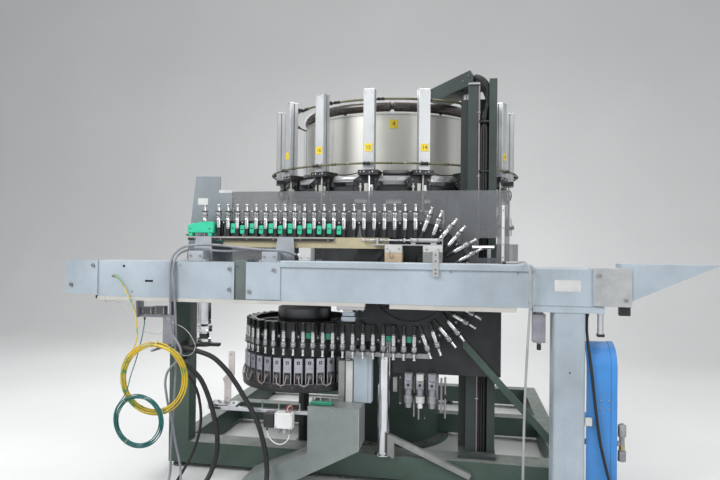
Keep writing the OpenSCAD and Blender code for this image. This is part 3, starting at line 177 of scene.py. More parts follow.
# ---------------------------------------------------------------- materials
def surface(name, colour, rough=0.45, metal=0.0, spread=0.10, patch=3.0, dust=0.0, grain=0.0, grain_axis="X",
            grain_size=900.0, pits=0.04, pit_size=420.0, coat=0.0, alpha=1.0, streak=0.0, second=None,
            rough_spread=0.12,
            scratches=0.0):
    """A worn industrial finish. spread is light and dark patches, dust a pale film on what faces up, grain brushed
    lines along one axis, pits a fine bump, streak dark vertical runs."""
    mat = bpy.data.materials.new(name)
    mat.use_nodes = True
    g = Graph(mat.node_tree)
    pos = g.add("ShaderNodeTexCoord").outputs["Object"]
    big = g.noise(pos, patch, 5.0, 0.6)
    dark = tuple(c * (1.0 - 2.2 * spread) for c in colour)
    light = tuple(min(1.0, c * (1.0 + 1.2 * spread) + 0.02 * spread) for c in colour)
    base = g.mix(g.remap(big, 0.30, 0.70), dark, light)
    if second:
        base = g.mix(g.remap(g.noise(pos, patch * 2.7, 3.0), 0.52, 0.66), base, second)
    fine = g.noise(pos, pit_size, 3.0, 0.6)
    rough_value = g.remap(g.noise(pos, patch * 4.0, 6.0, 0.65), 0.25, 0.75, rough - rough_spread * 0.5,
                          rough + rough_spread)
    height = fine
    strength = pits
    if grain:
        across = {"X": (2.0, grain_size, grain_size), "Y": (grain_size, 2.0, grain_size),
                  "Z": (grain_size, grain_size, 2.0)}[grain_axis]
        lines = g.noise(g.add("ShaderNodeMapping", {"Vector": pos, "Scale": across}).outputs[0], 1.0, 2.0, 0.5)
        base = g.mix(g.remap(lines, 0.3, 0.7, 0.0, grain), base, tuple(c * 0.55 for c in colour))
        height = g.math("ADD", g.math("MULTIPLY", lines, 0.8), g.math("MULTIPLY", fine, 0.2))
        strength = max(pits, grain * 0.25)
    if streak:
        runs = g.noise(g.add("ShaderNodeMapping", {"Vector": pos, "Scale": (38.0, 38.0, 2.2)}).outputs[0], 1.0, 4.0,
                       0.6)
        base = g.mix(g.remap(runs, 0.55, 0.75, 0.0, streak), base, tuple(c * 0.45 for c in colour))
    if scratches:
        turn = g.add("ShaderNodeMapping", {"Vector": pos, "Rotation": (0.3, 0.5, 0.9), "Scale": (160.0, 9.0, 160.0)})
        mark = g.remap(g.noise(turn.outputs[0], 1.0, 1.0, 0.4), 0.70, 0.74, 0.0, scratches)
        base = g.mix(mark, base, tuple(min(1.0, c * 1.6 + 0.12) for c in colour))
    if dust:
        normal = g.add("ShaderNodeNewGeometry").outputs["Normal"]
        facing = g.add("ShaderNodeSeparateXYZ", {0: normal}).outputs[2]
        settle = g.math("MULTIPLY", g.remap(facing, 0.45, 0.95), g.remap(g.noise(pos, 14.0, 6.0, 0.7), 0.35, 0.65,
                                                                         0.3, 1.0))
        base = g.mix(g.math("MULTIPLY", settle, dust), base, (0.45, 0.44, 0.42))
        rough_value = g.math("ADD", rough_value, g.math("MULTIPLY", settle, 0.3 * dust))
    bump = g.add("ShaderNodeBump", {"Height": height, "Strength": strength, "Distance": 0.0015})
    bsdf = g.add("ShaderNodeBsdfPrincipled", {"Base Color": base, "Roughness": rough_value, "Metallic": metal,
                                              "Normal": bump.outputs[0], "Coat Weight": coat, "Alpha": alpha})
    g.add("ShaderNodeOutputMaterial", {"Surface": bsdf.outputs[0]})
    return mat


M = {
    "beam_paint": surface("beam_paint", (0.365, 0.425, 0.475), 0.42, 0.0, 0.10, 2.2, dust=0.35, pits=0.05,
                          pit_size=260,
                          scratches=0.25, streak=0.10),
    "dark_green": surface("dark_green", (0.050, 0.085, 0.068), 0.45, 0.0, 0.14, 2.6, dust=0.4, scratches=0.3),
    "gantry_paint": surface("gantry_paint", (0.029, 0.043, 0.041), 0.50, 0.0, 0.16, 2.4, dust=0.15, scratches=0.2,
                            streak=0.15),
    "inner_paint": surface("inner_paint", (0.205, 0.235, 0.255), 0.45, 0.0, 0.12, 3.0, dust=0.35),
    "silver": surface("silver", (0.52, 0.53, 0.55), 0.36, 0.85, 0.07, 4.0, grain=0.25, grain_axis="X", pits=0.05),
    "silver_z": surface("silver_z", (0.52, 0.53, 0.55), 0.34, 0.85, 0.07, 4.0, grain=0.25, grain_axis="Z", pits=0.05),
    "chrome": surface("chrome", (0.74, 0.75, 0.77), 0.13, 1.0, 0.05, 9.0, pits=0.012, rough_spread=0.05),
    "spindle_steel": surface("spindle_steel", (0.66, 0.665, 0.67), 0.20, 1.0, 0.08, 22.0, pits=0.02,
                             rough_spread=0.10),
    "glass": surface("smoked_sheet", (0.185, 0.195, 0.205), 0.16, 0.0, 0.08, 1.1, pits=0.01, alpha=0.56,
                     scratches=0.06),
    "white_plastic": surface("white_plastic", (0.70, 0.705, 0.71), 0.5, 0.0, 0.05, 6.0, dust=0.15),
    "black": surface("blackened", (0.022, 0.023, 0.025), 0.40, 0.25, 0.20, 9.0, pits=0.08, dust=0.22),
    "beige": surface("beige", (0.44, 0.39, 0.25), 0.5, 0.0, 0.10, 5.0, dust=0.2),
    "green": surface("green_plastic", (0.035, 0.56, 0.33), 0.30, 0.0, 0.08, 18.0, pits=0.02, coat=0.2),
    "steel": surface("plain_steel", (0.34, 0.345, 0.355), 0.33, 0.9, 0.12, 14.0, pits=0.06),
    "finger": surface("finger_steel", (0.44, 0.445, 0.50), 0.30, 0.9, 0.08, 10.0, grain=0.15, grain_axis="Z"),
    "wheel_paint": surface("wheel_paint", (0.20, 0.235, 0.24), 0.45, 0.0, 0.12, 3.0, dust=0.4),
    "mould": surface("mould_metal", (0.50, 0.505, 0.51), 0.35, 0.9, 0.08, 7.0, grain=0.18, grain_axis="Z"),
    "stainless": surface("stainless", (0.53, 0.53, 0.495), 0.46, 0.62, 0.06, 1.8, grain=0.30, grain_axis="Z",
                         grain_size=700, pits=0.04),
    "pipe": surface("pipe_brown", (0.075, 0.064, 0.059), 0.26, 0.55, 0.10, 3.0, dust=0.10, rough_spread=0.08),
    "white_ext": surface("white_extrusion", (0.50, 0.52, 0.53), 0.40, 0.55, 0.05, 5.0, grain=0.10, grain_axis="Z"),
    "yellow": surface("yellow_plate", (0.80, 0.60, 0.03), 0.42, 0.0, 0.06, 24.0),
    "olive": surface("olive_hose", (0.125, 0.122, 0.062), 0.42, 0.0, 0.15, 16.0),
    "duct": surface("duct_sheet", (0.235, 0.27, 0.265), 0.38, 0.35, 0.12, 2.6, dust=0.3, scratches=0.3),
    "blue": surface("blue_paint", (0.045, 0.235, 0.60), 0.33, 0.0, 0.08, 2.5, dust=0.15, coat=0.15),
    "post_grey": surface("post_grey", (0.120, 0.148, 0.143), 0.44, 0.0, 0.12, 2.6, dust=0.3, scratches=0.3),
    "valve": surface("valve_body", (0.30, 0.30, 0.345), 0.40, 0.4, 0.12, 10.0, dust=0.15),
    "conduit": surface("grey_conduit", (0.235, 0.245, 0.275), 0.50, 0.0, 0.12, 12.0),
    "hose_grey": surface("grey_hose", (0.36, 0.365, 0.365), 0.45, 0.0, 0.10, 10.0),
    "wire": surface("yellow_green_wire", (0.66, 0.47, 0.035), 0.35, 0.0, 0.06, 5.0, second=(0.045, 0.30, 0.10)),
    "teal": surface("teal_hose", (0.012, 0.135, 0.125), 0.35, 0.0, 0.12, 20.0),
    "white_wire": surface("white_wire", (0.56, 0.56, 0.57), 0.38, 0.0, 0.08, 30.0, pits=0.02),
    "cable": surface("black_cable", (0.0045, 0.0045, 0.0052), 0.56, 0.0, 0.20, 24.0, pits=0.04),
    # green_dark is a darker copy of the green plastic. Its darkness is painted shade for the lower clips, which take
    # less light; the dust on it is real.
    "green_dark": surface("green_painted_shade", (0.018, 0.22, 0.135), 0.42, 0.0, 0.14, 16.0, dust=0.15),
    "pale_strip": surface("pale_strip", (0.56, 0.545, 0.51), 0.42, 0.35, 0.07, 4.0, grain=0.18, grain_axis="X",
                          scratches=0.3),
    "pale_rail": surface("pale_rail", (0.42, 0.405, 0.365), 0.42, 0.35, 0.14, 6.0, grain=0.12, scratches=0.3),
    "wood": surface("wood_block", (0.52, 0.40, 0.27), 0.60, 0.0, 0.10, 5.0, grain=0.45, grain_axis="X",
                    grain_size=260.0),
    "pink_hose": surface("pale_hose", (0.50, 0.405, 0.385), 0.45, 0.0, 0.10, 40.0),
    "pink_pipe": surface("pale_pipe", (0.25, 0.215, 0.22), 0.38, 0.3, 0.10, 6.0),
    "pale_pink": surface("primer_strap", (0.52, 0.475, 0.465), 0.48, 0.1, 0.08, 7.0, scratches=0.3),
    "pale_steel": surface("pale_steel", (0.50, 0.51, 0.51), 0.35, 0.7, 0.08, 6.0, grain=0.2),
    "satin_plate": surface("satin_plate", (0.47, 0.485, 0.49), 0.36, 0.55, 0.10, 5.0, grain=0.22, grain_axis="X",
                           scratches=0.35),
    "white_paint": surface("white_paint", (0.55, 0.56, 0.55), 0.45, 0.15, 0.07, 8.0, dust=0.10, scratches=0.2),
    "bracket_paint": surface("bracket_paint", (0.36, 0.385, 0.42), 0.42, 0.0, 0.10, 5.0, dust=0.2, scratches=0.3),
    "block_grey": surface("block_grey", (0.30, 0.305, 0.30), 0.40, 0.5, 0.10, 7.0, grain=0.15, grain_axis="Z"),
    "hub_steel": surface("hub_steel", (0.17, 0.172, 0.18), 0.33, 0.8, 0.08, 3.0, grain=0.2, grain_axis="Z"),
    "switch_blue": surface("switch_body", (0.28, 0.32, 0.37), 0.42, 0.1, 0.08, 12.0, dust=0.1),
    "dark_box": surface("dark_box", (0.13, 0.15, 0.145), 0.45, 0.1, 0.12, 12.0, dust=0.2),
    "brass": surface("brass", (0.42, 0.36, 0.20), 0.35, 0.9, 0.10, 14.0),
    "copper": surface("copper_wire", (0.35, 0.17, 0.09), 0.40, 0.8, 0.10, 30.0),
    "red": surface("red_wire", (0.42, 0.02, 0.02), 0.40, 0.0, 0.08, 30.0),
    "weld": surface("weld_bead", (0.33, 0.385, 0.43), 0.48, 0.1, 0.16, 40.0, pits=0.2, pit_size=500.0),
    "blue_dark": surface("blue_dark", (0.02, 0.025, 0.09), 0.4, 0.0, 0.10, 20.0),
    "rubber": surface("black_rubber", (0.0050, 0.0050, 0.0058), 0.58, 0.0, 0.25, 20.0, pits=0.06, dust=0.06),
}

NODE_MATERIAL = {
    "beam_paint": "beam_left beam_right head_box right_column bolted_plates",
    "dark_green": "base_frame pedestal",
    "post_grey": "splice_post",
    "gantry_paint": "gantry_post gantry_arm",
    "inner_paint": "inner_beam arm_plate rail_brackets",
    "pale_rail": "guide_rail",
    "black": "chain_links turn_wheel turn_bearing infeed_star foot_brackets loading_wheel slewing_ring "
             "back_plate",
    "steel": "ball_pins beam_bolts tensioner_spring",
    "silver": "wheel_supports",
    "pale_strip": "under_rails",
    "pale_steel": "tensioner_body",
    "silver_z": "infeed_bearing base_ring",
    "chrome": "round_column tensioner_rod stretch_rod",
    "spindle_steel": "spindles",
    "glass": "screen",
    "white_plastic": "screen_strip electrical_boxes",
    "beige": "guide_bar",
    "green": "green_clips",
    "finger": "gripper_fingers",
    "wheel_paint": "wheel_table station_frames",
    "mould": "mould_sets mould_left mould_right",
    "stainless": "drum nozzles",
    "pipe": "air_manifold",
    "white_ext": "stretch_units",
    "yellow": "number_plates",
    "olive": "hose_rings",
    "duct": "lower_duct",
    "blue": "side_guard",
    "valve": "pneumatic_valves",
    "conduit": "conduit_a conduit_b",
    "hose_grey": "hose_grey",
    "wire": "earth_coil",
    "teal": "teal_coil",
    "rubber": "hose_black",
}
for key, names in NODE_MATERIAL.items():
    for name in names.split():
        me = NODES[name].data
        me.materials.clear()
        me.materials.append(M[key])
        me.shade_smooth()
        me.set_sharp_from_angle(angle=math.radians(30))

# ---------------------------------------------------------------- geometry
class Piece:
    """Gathers primitives into one mesh, each with its own material index. Points are in metres."""

    def __init__(self, name, *materials):
        self.name = name
        self.bm = bmesh.new()
        self.materials = materials
        self.m = Matrix.Identity(4)

    def _faces(self, verts, faces, mat, smooth=True, m=None):
        m = self.m if m is None else self.m @ m
        made = [self.bm.verts.new(m @ Vector(v)) for v in verts]
        for f in faces:
            try:
                face = self.bm.faces.new([made[i] for i in f])
            except ValueError:
                continue
            face.material_index = mat
            face.smooth = smooth
        return self

    def box(self, lo, hi, c=0.0012, mat=0, m=None):
        """Block with chamfered edges."""
        c = min([c] + [(hi[i] - lo[i]) * 0.45 for i in range(3)])
        verts, index = [], {}
        for sx in (0, 1):
            for sy in (0, 1):
                for sz in (0, 1):
                    corner = [(lo, hi)[s][i] for i, s in enumerate((sx, sy, sz))]
                    inward = [c if s == 0 else -c for s in (sx, sy, sz)]
                    for axis in range(3):
                        p = [corner[i] if i == axis else corner[i] + inward[i] for i in range(3)]
                        index[sx, sy, sz, axis] = len(verts)
                        verts.append(p)
        faces = []
        for axis in range(3):
            a, b = [(1, 2), (2, 0), (0, 1)][axis]
            for s in (0, 1):
                loop = []
                for u, v in ((0, 0), (1, 0), (1, 1), (0, 1)):
                    key = [0, 0, 0]
                    key[axis], key[a], key[b] = s, u, v
                    loop.append(index[(*key, axis)])
                faces.append(loop if s else loop[::-1])
            for u in (0, 1):
                for v in (0, 1):
                    k0, k1 = [0, 0, 0], [0, 0, 0]
                    k0[a], k0[b], k1[a], k1[b] = u, v, u, v
                    k1[axis] = 1
                    loop = [index[(*k0, a)], index[(*k1, a)], index[(*k1, b)], index[(*k0, b)]]
                    faces.append(loop if u == v else loop[::-1])
        for sx in (0, 1):
            for sy in (0, 1):
                for sz in (0, 1):
                    loop = [index[sx, sy, sz, i] for i in range(3)]
                    faces.append(loop if (sx + sy + sz) % 2 else loop[::-1])
        return self._faces(verts, faces, mat, True, m)

    def lathe(self, profile, segs=32, mat=0, m=None, closed=False):
        """Turned about local Z from (radius, height) pairs; both ends on the axis are closed to a point."""
        verts, rings = [], []
        for r, z in profile:
            if r < 1e-7:
                rings.append([len(verts)])
                verts.append((0.0, 0.0, z))
            else:
                rings.append(list(range(len(verts), len(verts) + segs)))
                verts += [(r * math.cos(2 * math.pi * i / segs), r * math.sin(2 * math.pi * i / segs), z)
                          for i in range(segs)]
        faces = []
        pairs = list(zip(rings, rings[1:]))
        if closed:
            pairs.append((rings[-1], rings[0]))
        for a, b in pairs:
            for i in range(segs):
                j = (i + 1) % segs
                if len(a) == 1 and len(b) == 1:
                    continue
                if len(a) == 1:
                    faces.append((a[0], b[i], b[j])[::-1])
                elif len(b) == 1:
                    faces.append((a[i], a[j], b[0]))
                else:
                    faces.append((a[i], a[j], b[j], b[i]))
        return self._faces(verts, faces, mat, True, m)

    def rod(self, p0, p1, r, segs=20, c=0.0008, mat=0, r1=None):
        """Round bar between two points, its ends chamfered."""
        p0, p1 = Vector(p0), Vector(p1)
        r1 = r if r1 is None else r1
        length = (p1 - p0).length
        c = min(c, r * 0.4, r1 * 0.4, length * 0.3)
        turn = (p1 - p0).to_track_quat("Z", "Y").to_matrix().to_4x4()
        return self.lathe([(0, 0), (r - c, 0), (r, c), (r1, length - c), (r1 - c, length), (0, length)], segs, mat,
                          Matrix.Translation(p0) @ turn)

    def hexagon(self, p0, p1, r, mat=0):
        """Hexagon bar or nut, r across the corners."""
        p0, p1 = Vector(p0), Vector(p1)
        turn = (p1 - p0).to_track_quat("Z", "Y").to_matrix().to_4x4()
        length = (p1 - p0).length
        c = r * 0.08
        return self.lathe([(0, 0), (r - c, 0), (r, c), (r, length - c), (r - c, length), (0, length)], 6, mat,
                          Matrix.Translation(p0) @ turn)

    def socket_screw(self, at, way, r, h=None, mat=0, mat_hole=None):
        """Cap screw's head with its hexagon socket."""
        at, way = Vector(at), Vector(way).normalized()
        h = r * 1.1 if h is None else h
        turn = Matrix.Translation(at) @ way.to_track_quat("Z", "Y").to_matrix().to_4x4()
        c = r * 0.12
        self.lathe([(r, 0), (r, h - c), (r - c, h), (r * 0.62, h), (r * 0.60, h - c * 0.5)], 18, mat, turn)
        hole = [(r * 0.60, h - c * 0.5), (r * 0.56, h * 0.45), (0, h * 0.40)]
        return self.lathe(hole, 18, mat if mat_hole is None else mat_hole, turn)

    def prism(self, outline, axis, lo, hi, c=0.0, mat=0, m=None, holes=()):
        """Flat closed outline pushed along an axis: 'y' outlines are (x, z), 'x' are (y, z), 'z' are (x, y)."""
        bm = bmesh.new()

        def place(p, t):
            return {"x": (t, p[0], p[1]), "y": (p[0], t, p[1]), "z": (p[0], p[1], t)}[axis]

        edges = []
        for loop in (outline, *holes):
            ring = [bm.verts.new(place(p, lo)) for p in loop]
            edges += [bm.edges.new((ring[i], ring[(i + 1) % len(ring)])) for i in range(len(ring))]
        bmesh.ops.triangle_fill(bm, edges=edges, use_beauty=True, use_dissolve=False)
        if holes:
            bmesh.ops.dissolve_limit(bm, angle_limit=0.01, verts=bm.verts[:], edges=bm.edges[:])
        else:
            bmesh.ops.dissolve_faces(bm, faces=bm.faces[:])
        bottom = bm.faces[:]
        made = bmesh.ops.extrude_face_region(bm, geom=bottom)
        shift = Vector(place((0.0, 0.0), hi - lo))
        bmesh.ops.translate(bm, vec=shift, verts=[v for v in made["geom"] if isinstance(v, bmesh.types.BMVert)])
        bmesh.ops.recalc_face_normals(bm, faces=bm.faces[:])
        if c:
            sharp = [e for e in bm.edges if len(e.link_faces) == 2 and e.calc_face_angle(0.0) > 0.6]
            bmesh.ops.bevel(bm, geom=sharp, offset=c, segments=1, profile=0.5, affect="EDGES", clamp_overlap=True)
        return self._join(bm, mat, m)

    def _join(self, bm, mat, m=None, smooth=True):
        bm.verts.index_update()
        verts = [v.co.copy() for v in bm.verts]
        faces = [[v.index for v in f.verts] for f in bm.faces]
        bm.free()
        return self._faces(verts, faces, mat, smooth, m)

    def tube(self, points, r, sides=10, mat=0, closed=False, radii=None, caps=True):
        """Round tube along points; radii may give one radius for each point."""
        pts = [Vector(p) for p in points]
        n = len(pts)
        tangents = []
        for i in range(n):
            a = pts[i - 1] if (i or closed) else pts[0]
            b = pts[(i + 1) % n] if (i < n - 1 or closed) else pts[-1]
            tangents.append((b - a).normalized())
        side = tangents[0].orthogonal().normalized()
        rings, verts = [], []
        for i, (p, t) in enumerate(zip(pts, tangents)):
            side = (side - t * side.dot(t)).normalized()
            up = t.cross(side)
            rr = radii[i] if radii else r
            rings.append(list(range(len(verts), len(verts) + sides)))
            verts += [p + (side * math.cos(2 * math.pi * k / sides) + up * math.sin(2 * math.pi * k / sides)) * rr
                      for k in range(sides)]
        faces = []
        count = n if closed else n - 1
        shift = 0
        if closed:
            last = tangents[0]
            end = (side - last * side.dot(last)).normalized()
            first = (verts[0] - pts[0]).normalized()
            turn = math.atan2(end.cross(first).dot(last), end.dot(first))
            shift = round(turn / (2 * math.pi / sides))
        for i in range(count):
            a, b = rings[i], rings[(i + 1) % n]
            s = shift if (closed and i == n - 1) else 0
            for k in range(sides):
                l = (k + 1) % sides
                faces.append((a[k], a[l], b[(l - s) % sides], b[(k - s) % sides]))
        if not closed and caps:
            faces.append(rings[0][::-1])
            faces.append(rings[-1])
        return self._faces(verts, faces, mat, True)

    def done(self, body, sharp=42.0, weighted=True):
        bmesh.ops.recalc_face_normals(self.bm, faces=self.bm.faces[:])
        me = bpy.data.meshes.new(self.name)
        self.bm.to_mesh(me)
        self.bm.free()
        me.set_sharp_from_angle(angle=math.radians(sharp))
        for key in self.materials:
            me.materials.append(M[key])
        obj = bpy.data.objects.new(self.name, me)
        scene.collection.objects.link(obj)
        if weighted:
            mod = obj.modifiers.new("weighted", "WEIGHTED_NORMAL")
            mod.keep_sharp = True
        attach(obj, body)
        return obj


def spline(points, per=8):
    """Smooth curve through points, the same one that the CAD uses."""
    pts = [Vector(p) for p in points]
    n = len(pts) - 1
    out = []
    for j in range(n * per + 1):
        t = j / per
        i = min(int(t), n - 1)
        u = t - i
        a, b, c, d = pts[max(i - 1, 0)], pts[i], pts[i + 1], pts[min(i + 2, n)]
        out.append(0.5 * (2 * b + (c - a) * u + (2 * a - 5 * b + 4 * c - d) * u * u + (3 * b - a - 3 * c + d) * u ** 3))
    return out


def resample(points, step):
    """Points a fixed distance apart along a line, its two ends kept."""
    total = path_length(points)
    count = max(2, round(total / step))
    out, want, gone = [points[0].copy()], total / count, 0.0
    for a, b in zip(points, points[1:]):
        seg = (b - a).length
        while seg > 1e-9 and gone + seg >= want * len(out) and len(out) < count:
            out.append(a.lerp(b, (want * len(out) - gone) / seg))
        gone += seg
    out.append(points[-1].copy())
    return out


def path_length(points):
    return sum((b - a).length for a, b in zip(points, points[1:]))


def mm(*values):
    return tuple(v / 1000.0 for v in values)


def mm_all(points):
    """Points given in millimetres, as a list in metres."""
    return [mm(*v) for v in points]


def at(x, y, z):
    return Matrix.Translation((x, y, z))


def spin(degrees, axis):
    return Matrix.Rotation(math.radians(degrees), 4, axis)


def to_front(x, y, z):
    """Place of a turned piece whose local Z points at the viewer."""
    return at(x, y, z) @ spin(90, "X")


# ---------------------------------------------------------------- named places, all from the CAD frame
TURN_X, CHAIN_Y, CHAIN_Z = 0.274, -1.310, 1.446
PITCH = 0.144
RUN_R = 0.072 / math.sin(math.radians(10)) * math.cos(math.radians(10))
PIN_V = 0.0283
LINK_V = (0.0163, 0.0403)
LOAD_X, LOAD_Y = TURN_X - 6 * PITCH, CHAIN_Y + PIN_V + RUN_R
STATIONS = 16
STATION_TURN = -3.5
STATION_R = 1.030
FRONT_Y, BACK_Y = -1.500, -1.360
BEAM_Z0, BEAM_TOP = 1.310, 1.570


def on_turn(angle):
    return (Matrix.Translation((TURN_X, CHAIN_Y, CHAIN_Z)) @ spin(angle, "Y")
            @ Matrix.Translation((0.0, 0.0, RUN_R)))


def on_upper(k):
    return Matrix.Translation((-k * PITCH, 0.0, 0.0)) @ on_turn(0)


def on_lower(k):
    return Matrix.Translation((-k * PITCH, 0.0, 0.0)) @ on_turn(180)


def on_loading(angle):
    return (Matrix.Translation((LOAD_X, LOAD_Y, 0.0)) @ spin(-angle, "Z")
            @ Matrix.Translation((-LOAD_X, -LOAD_Y, 0.0)) @ on_lower(6))


LINKS = ([on_upper(k) for k in range(10)] + [on_turn(a) for a in range(20, 179, 20)]
         + [on_lower(k) for k in range(7)] + [on_loading(a) for a in range(20, 162, 20)])
END_LINK = on_upper(10)


def station(k):
    """Place of station k: local +X outward, +Z up, origin on the wheel's axis."""
    return spin(STATION_TURN - 90 + k * 360 / STATIONS, "Z")


# ---------------------------------------------------------------- cords
# Routes are the CAD source's points in millimetres; one smooth curve runs through each of them.
CONDUIT_A = ((-490.3, -1404, 1622), (-508, -1404.444, 1623.333), (-530, -1408, 1634), (-583, -1424, 1650),
             (-640, -1439, 1657), (-740, -1442, 1659),
             (-883, -1442, 1670), (-1032, -1442, 1685), (-1117, -1442, 1690), (-1230, -1442, 1688),
             (-1300, -1446, 1681),
             (-1352, -1467, 1658), (-1386, -1500, 1612), (-1394, -1520, 1545), (-1398, -1524, 1455),
             (-1394, -1523, 1368),
             (-1392, -1523, 1250), (-1387, -1528, 1150), (-1366, -1533, 1064), (-1341, -1533, 1022),
             (-1318, -1533, 988),
             (-1304, -1533, 956), (-1301, -1533, 924), (-1312, -1533, 892), (-1338, -1533, 862), (-1372, -1533, 832),
             (-1402, -1533, 788), (-1416, -1533, 720), (-1407, -1533, 640), (-1391, -1533, 560), (-1356, -1533, 430),
             (-1332, -1533, 300), (-1306, -1534, 200), (-1290, -1540, 130), (-1276, -1560, 70), (-1266, -1600, 28),
             (-1260, -1650, 16.5), (-1258, -1700, 16.5))
CONDUIT_B = ((-490.3, -1378, 1615), (-508, -1378.444, 1616.222), (-530, -1382, 1626), (-583, -1398, 1645),
             (-640, -1415, 1658), (-740, -1418, 1658),
             (-883, -1418, 1650), (-1032, -1418, 1646), (-1117, -1418, 1649), (-1180, -1418, 1656),
             (-1290, -1420, 1656),
             (-1318, -1436, 1648), (-1352, -1471, 1625), (-1368, -1508, 1582), (-1372, -1524, 1520),
             (-1371, -1524, 1450),
             (-1365, -1521, 1369), (-1360, -1517, 1280), (-1358, -1505, 1150), (-1358, -1500, 1046),
             (-1359, -1500, 940),
             (-1354, -1500, 779), (-1364, -1500, 596), (-1374, -1500, 427), (-1382, -1500, 280), (-1382, -1504, 180),
             (-1376, -1520, 100), (-1368, -1560, 45), (-1362, -1610, 18), (-1360, -1660, 16.5), (-1360, -1700, 16.5))
HOSE_1 = ((-1424, -1199.3, 950), (-1424, -1260, 951), (-1424, -1325, 953), (-1413, -1386, 956), (-1381, -1435, 958),
          (-1332, -1469, 957), (-1274, -1482, 952), (-1200, -1484, 940), (-1085, -1484, 902), (-985, -1484, 818),
          (-910, -1484, 725), (-840, -1486, 622), (-770, -1488, 508), (-725, -1492, 405), (-693, -1496, 290),
          (-674, -1506, 190), (-664, -1534, 104), (-656, -1590, 48), (-650, -1655, 25), (-646, -1720, 22))
HOSE_2 = ((-1424, -1199.3, 892), (-1424, -1260, 892), (-1424, -1320, 891), (-1413, -1380, 887), (-1383, -1429, 877),
          (-1338, -1460, 860), (-1284, -1474, 832), (-1228, -1478, 794), (-1174, -1478, 738), (-1124, -1478, 640),
          (-1078, -1480, 509), (-1050, -1482, 384), (-1044, -1484, 280), (-1054, -1496, 190), (-1072, -1528, 110),
          (-1092, -1585, 52), (-1106, -1655, 26), (-1112, -1720, 22))
HOSE_3 = ((-1424, -1199.3, 834), (-1423, -1290, 832), (-1404, -1372, 822), (-1350, -1420, 794), (-1280, -1442, 742),
          (-1220, -1450, 660), (-1190, -1452, 550), (-1184, -1452, 440), (-1198, -1454, 340), (-1224, -1460, 250),
          (-1256, -1474, 170), (-1284, -1506, 105), (-1304, -1560, 52), (-1312, -1620, 22), (-1312, -1700, 17))
HOSE_4 = ((1416, -1430, 1287.7), (1414, -1434, 1230), (1412, -1452, 1160), (1416, -1474, 1085), (1427, -1485, 985),
          (1440, -1488, 875), (1460, -1490, 689), (1484, -1492, 505), (1509, -1494, 383), (1536, -1500, 270),
          (1562, -1516, 170), (1584, -1550, 90), (1600, -1600, 36), (1606, -1650, 17), (1608, -1700, 16.5))
HOSE_GREY = ((880, -1430, 1594.3), (920, -1431, 1594.6), (960, -1438, 1596), (992, -1456, 1599), (1012, -1482, 1603),
             (1022, -1502, 1603), (1032, -1526, 1594), (1042, -1545, 1574), (1049, -1554, 1540), (1054, -1554, 1470),
             (1055, -1540, 1380), (1052, -1530, 1280), (1044, -1527, 1120), (1034, -1525, 900), (1026, -1525, 650),
             (1022, -1525, 400), (1020, -1525, 240), (1022, -1532, 140), (1026, -1556, 64), (1032, -1600, 22),
             (1036, -1650, 13), (1038, -1700, 13))
LEAD_WHITE = ((-686, -1470, 438.7), (-686, -1471, 410), (-676, -1473, 378), (-654, -1475, 350), (-622, -1476, 330),
              (-586, -1476, 326), (-552, -1474, 342), (-532, -1471, 370), (-526, -1470, 398.7))
EARTH_LEAD = ((-1840, -1507, 1461), (-1822, -1509, 1460), (-1802, -1513, 1448), (-1770, -1520, 1414),
              (-1739, -1523, 1367),
              (-1714, -1525, 1319), (-1675, -1532, 1262), (-1649, -1540, 1202), (-1634, -1548, 1141),
              (-1622, -1558, 1081),
              (-1615, -1568, 1030))
TEAL_LEAD = ((-1700, -1325, 1149.7), (-1700, -1326, 1122), (-1698, -1336, 1080), (-1690, -1366, 1030),
             (-1675, -1415, 980),
             (-1657, -1475, 925), (-1643, -1530, 870), (-1634, -1578, 824), (-1634, -1612, 770), (-1641, -1627, 712),
             (-1660, -1631, 652))
WIRE_LEFT = ((-1955, -1420, 1285.7), (-1952, -1434, 1268), (-1925, -1456, 1262), (-1868, -1476, 1276),
             (-1815, -1480, 1264),
             (-1769, -1480, 1238), (-1738, -1480, 1202), (-1715, -1478, 1152), (-1692, -1474, 1111),
             (-1669, -1466, 1080),
             (-1623, -1446, 1054), (-1570, -1400, 1036), (-1530, -1368, 1034), (-1512, -1352, 1036))
WIRE_RIGHT = ((-1528.7, -1325, 1190), (-1510, -1340, 1188), (-1470, -1420, 1170), (-1430, -1470, 1150),
              (-1366, -1486, 1126),
              (-1307, -1494, 1104), (-1256, -1502, 1065), (-1219, -1508, 1013), (-1206, -1510, 973),
              (-1224, -1508, 932),
              (-1270, -1496, 908), (-1330, -1462, 904), (-1392, -1410, 915), (-1440, -1330, 920), (-1474, -1250, 916),
              (-1480, -1199.3, 914))


def winding(centre, radius, bundle, turns, start, wobble, seed):
    """Turns of a hanging coil in the XZ plane, in mm: a middle turn in a ring of six, anticlockwise from start."""
    draw = random.Random(seed)
    places = [(bundle * math.cos(math.radians(a)), bundle * math.sin(math.radians(a))) for a in
              (-20, 40, 100, 160, 220, 280)] + [(0.0, 0.0)]
    phase = [draw.uniform(0, 6.28) for _ in range(2 * turns + 2)]
    points = []
    steps = 24
    for i in range(turns * steps - 1):
        k, part = divmod(i / steps, 1.0)
        k = int(k)
        move = min(1.0, max(0.0, (part - 0.70) / 0.30))
        move = move * move * (3 - 2 * move) if k < turns - 1 else 0.0
        a, b = places[k], places[min(k + 1, turns - 1)]
        angle = math.radians(start + 360.0 * i / steps)
        out = a[0] + (b[0] - a[0]) * move + wobble * math.sin(2 * angle + phase[k] * (1 - move) + phase[k + 1] * move)
        deep = a[1] + (b[1] - a[1]) * move + wobble * math.cos(3 * angle + phase[k] * (1 - move) + phase[k + 1] * move)
        points.append((centre[0] + (radius + out) * math.cos(angle), centre[1] + deep,
                       centre[2] + (radius + out) * math.sin(angle)))
    return points


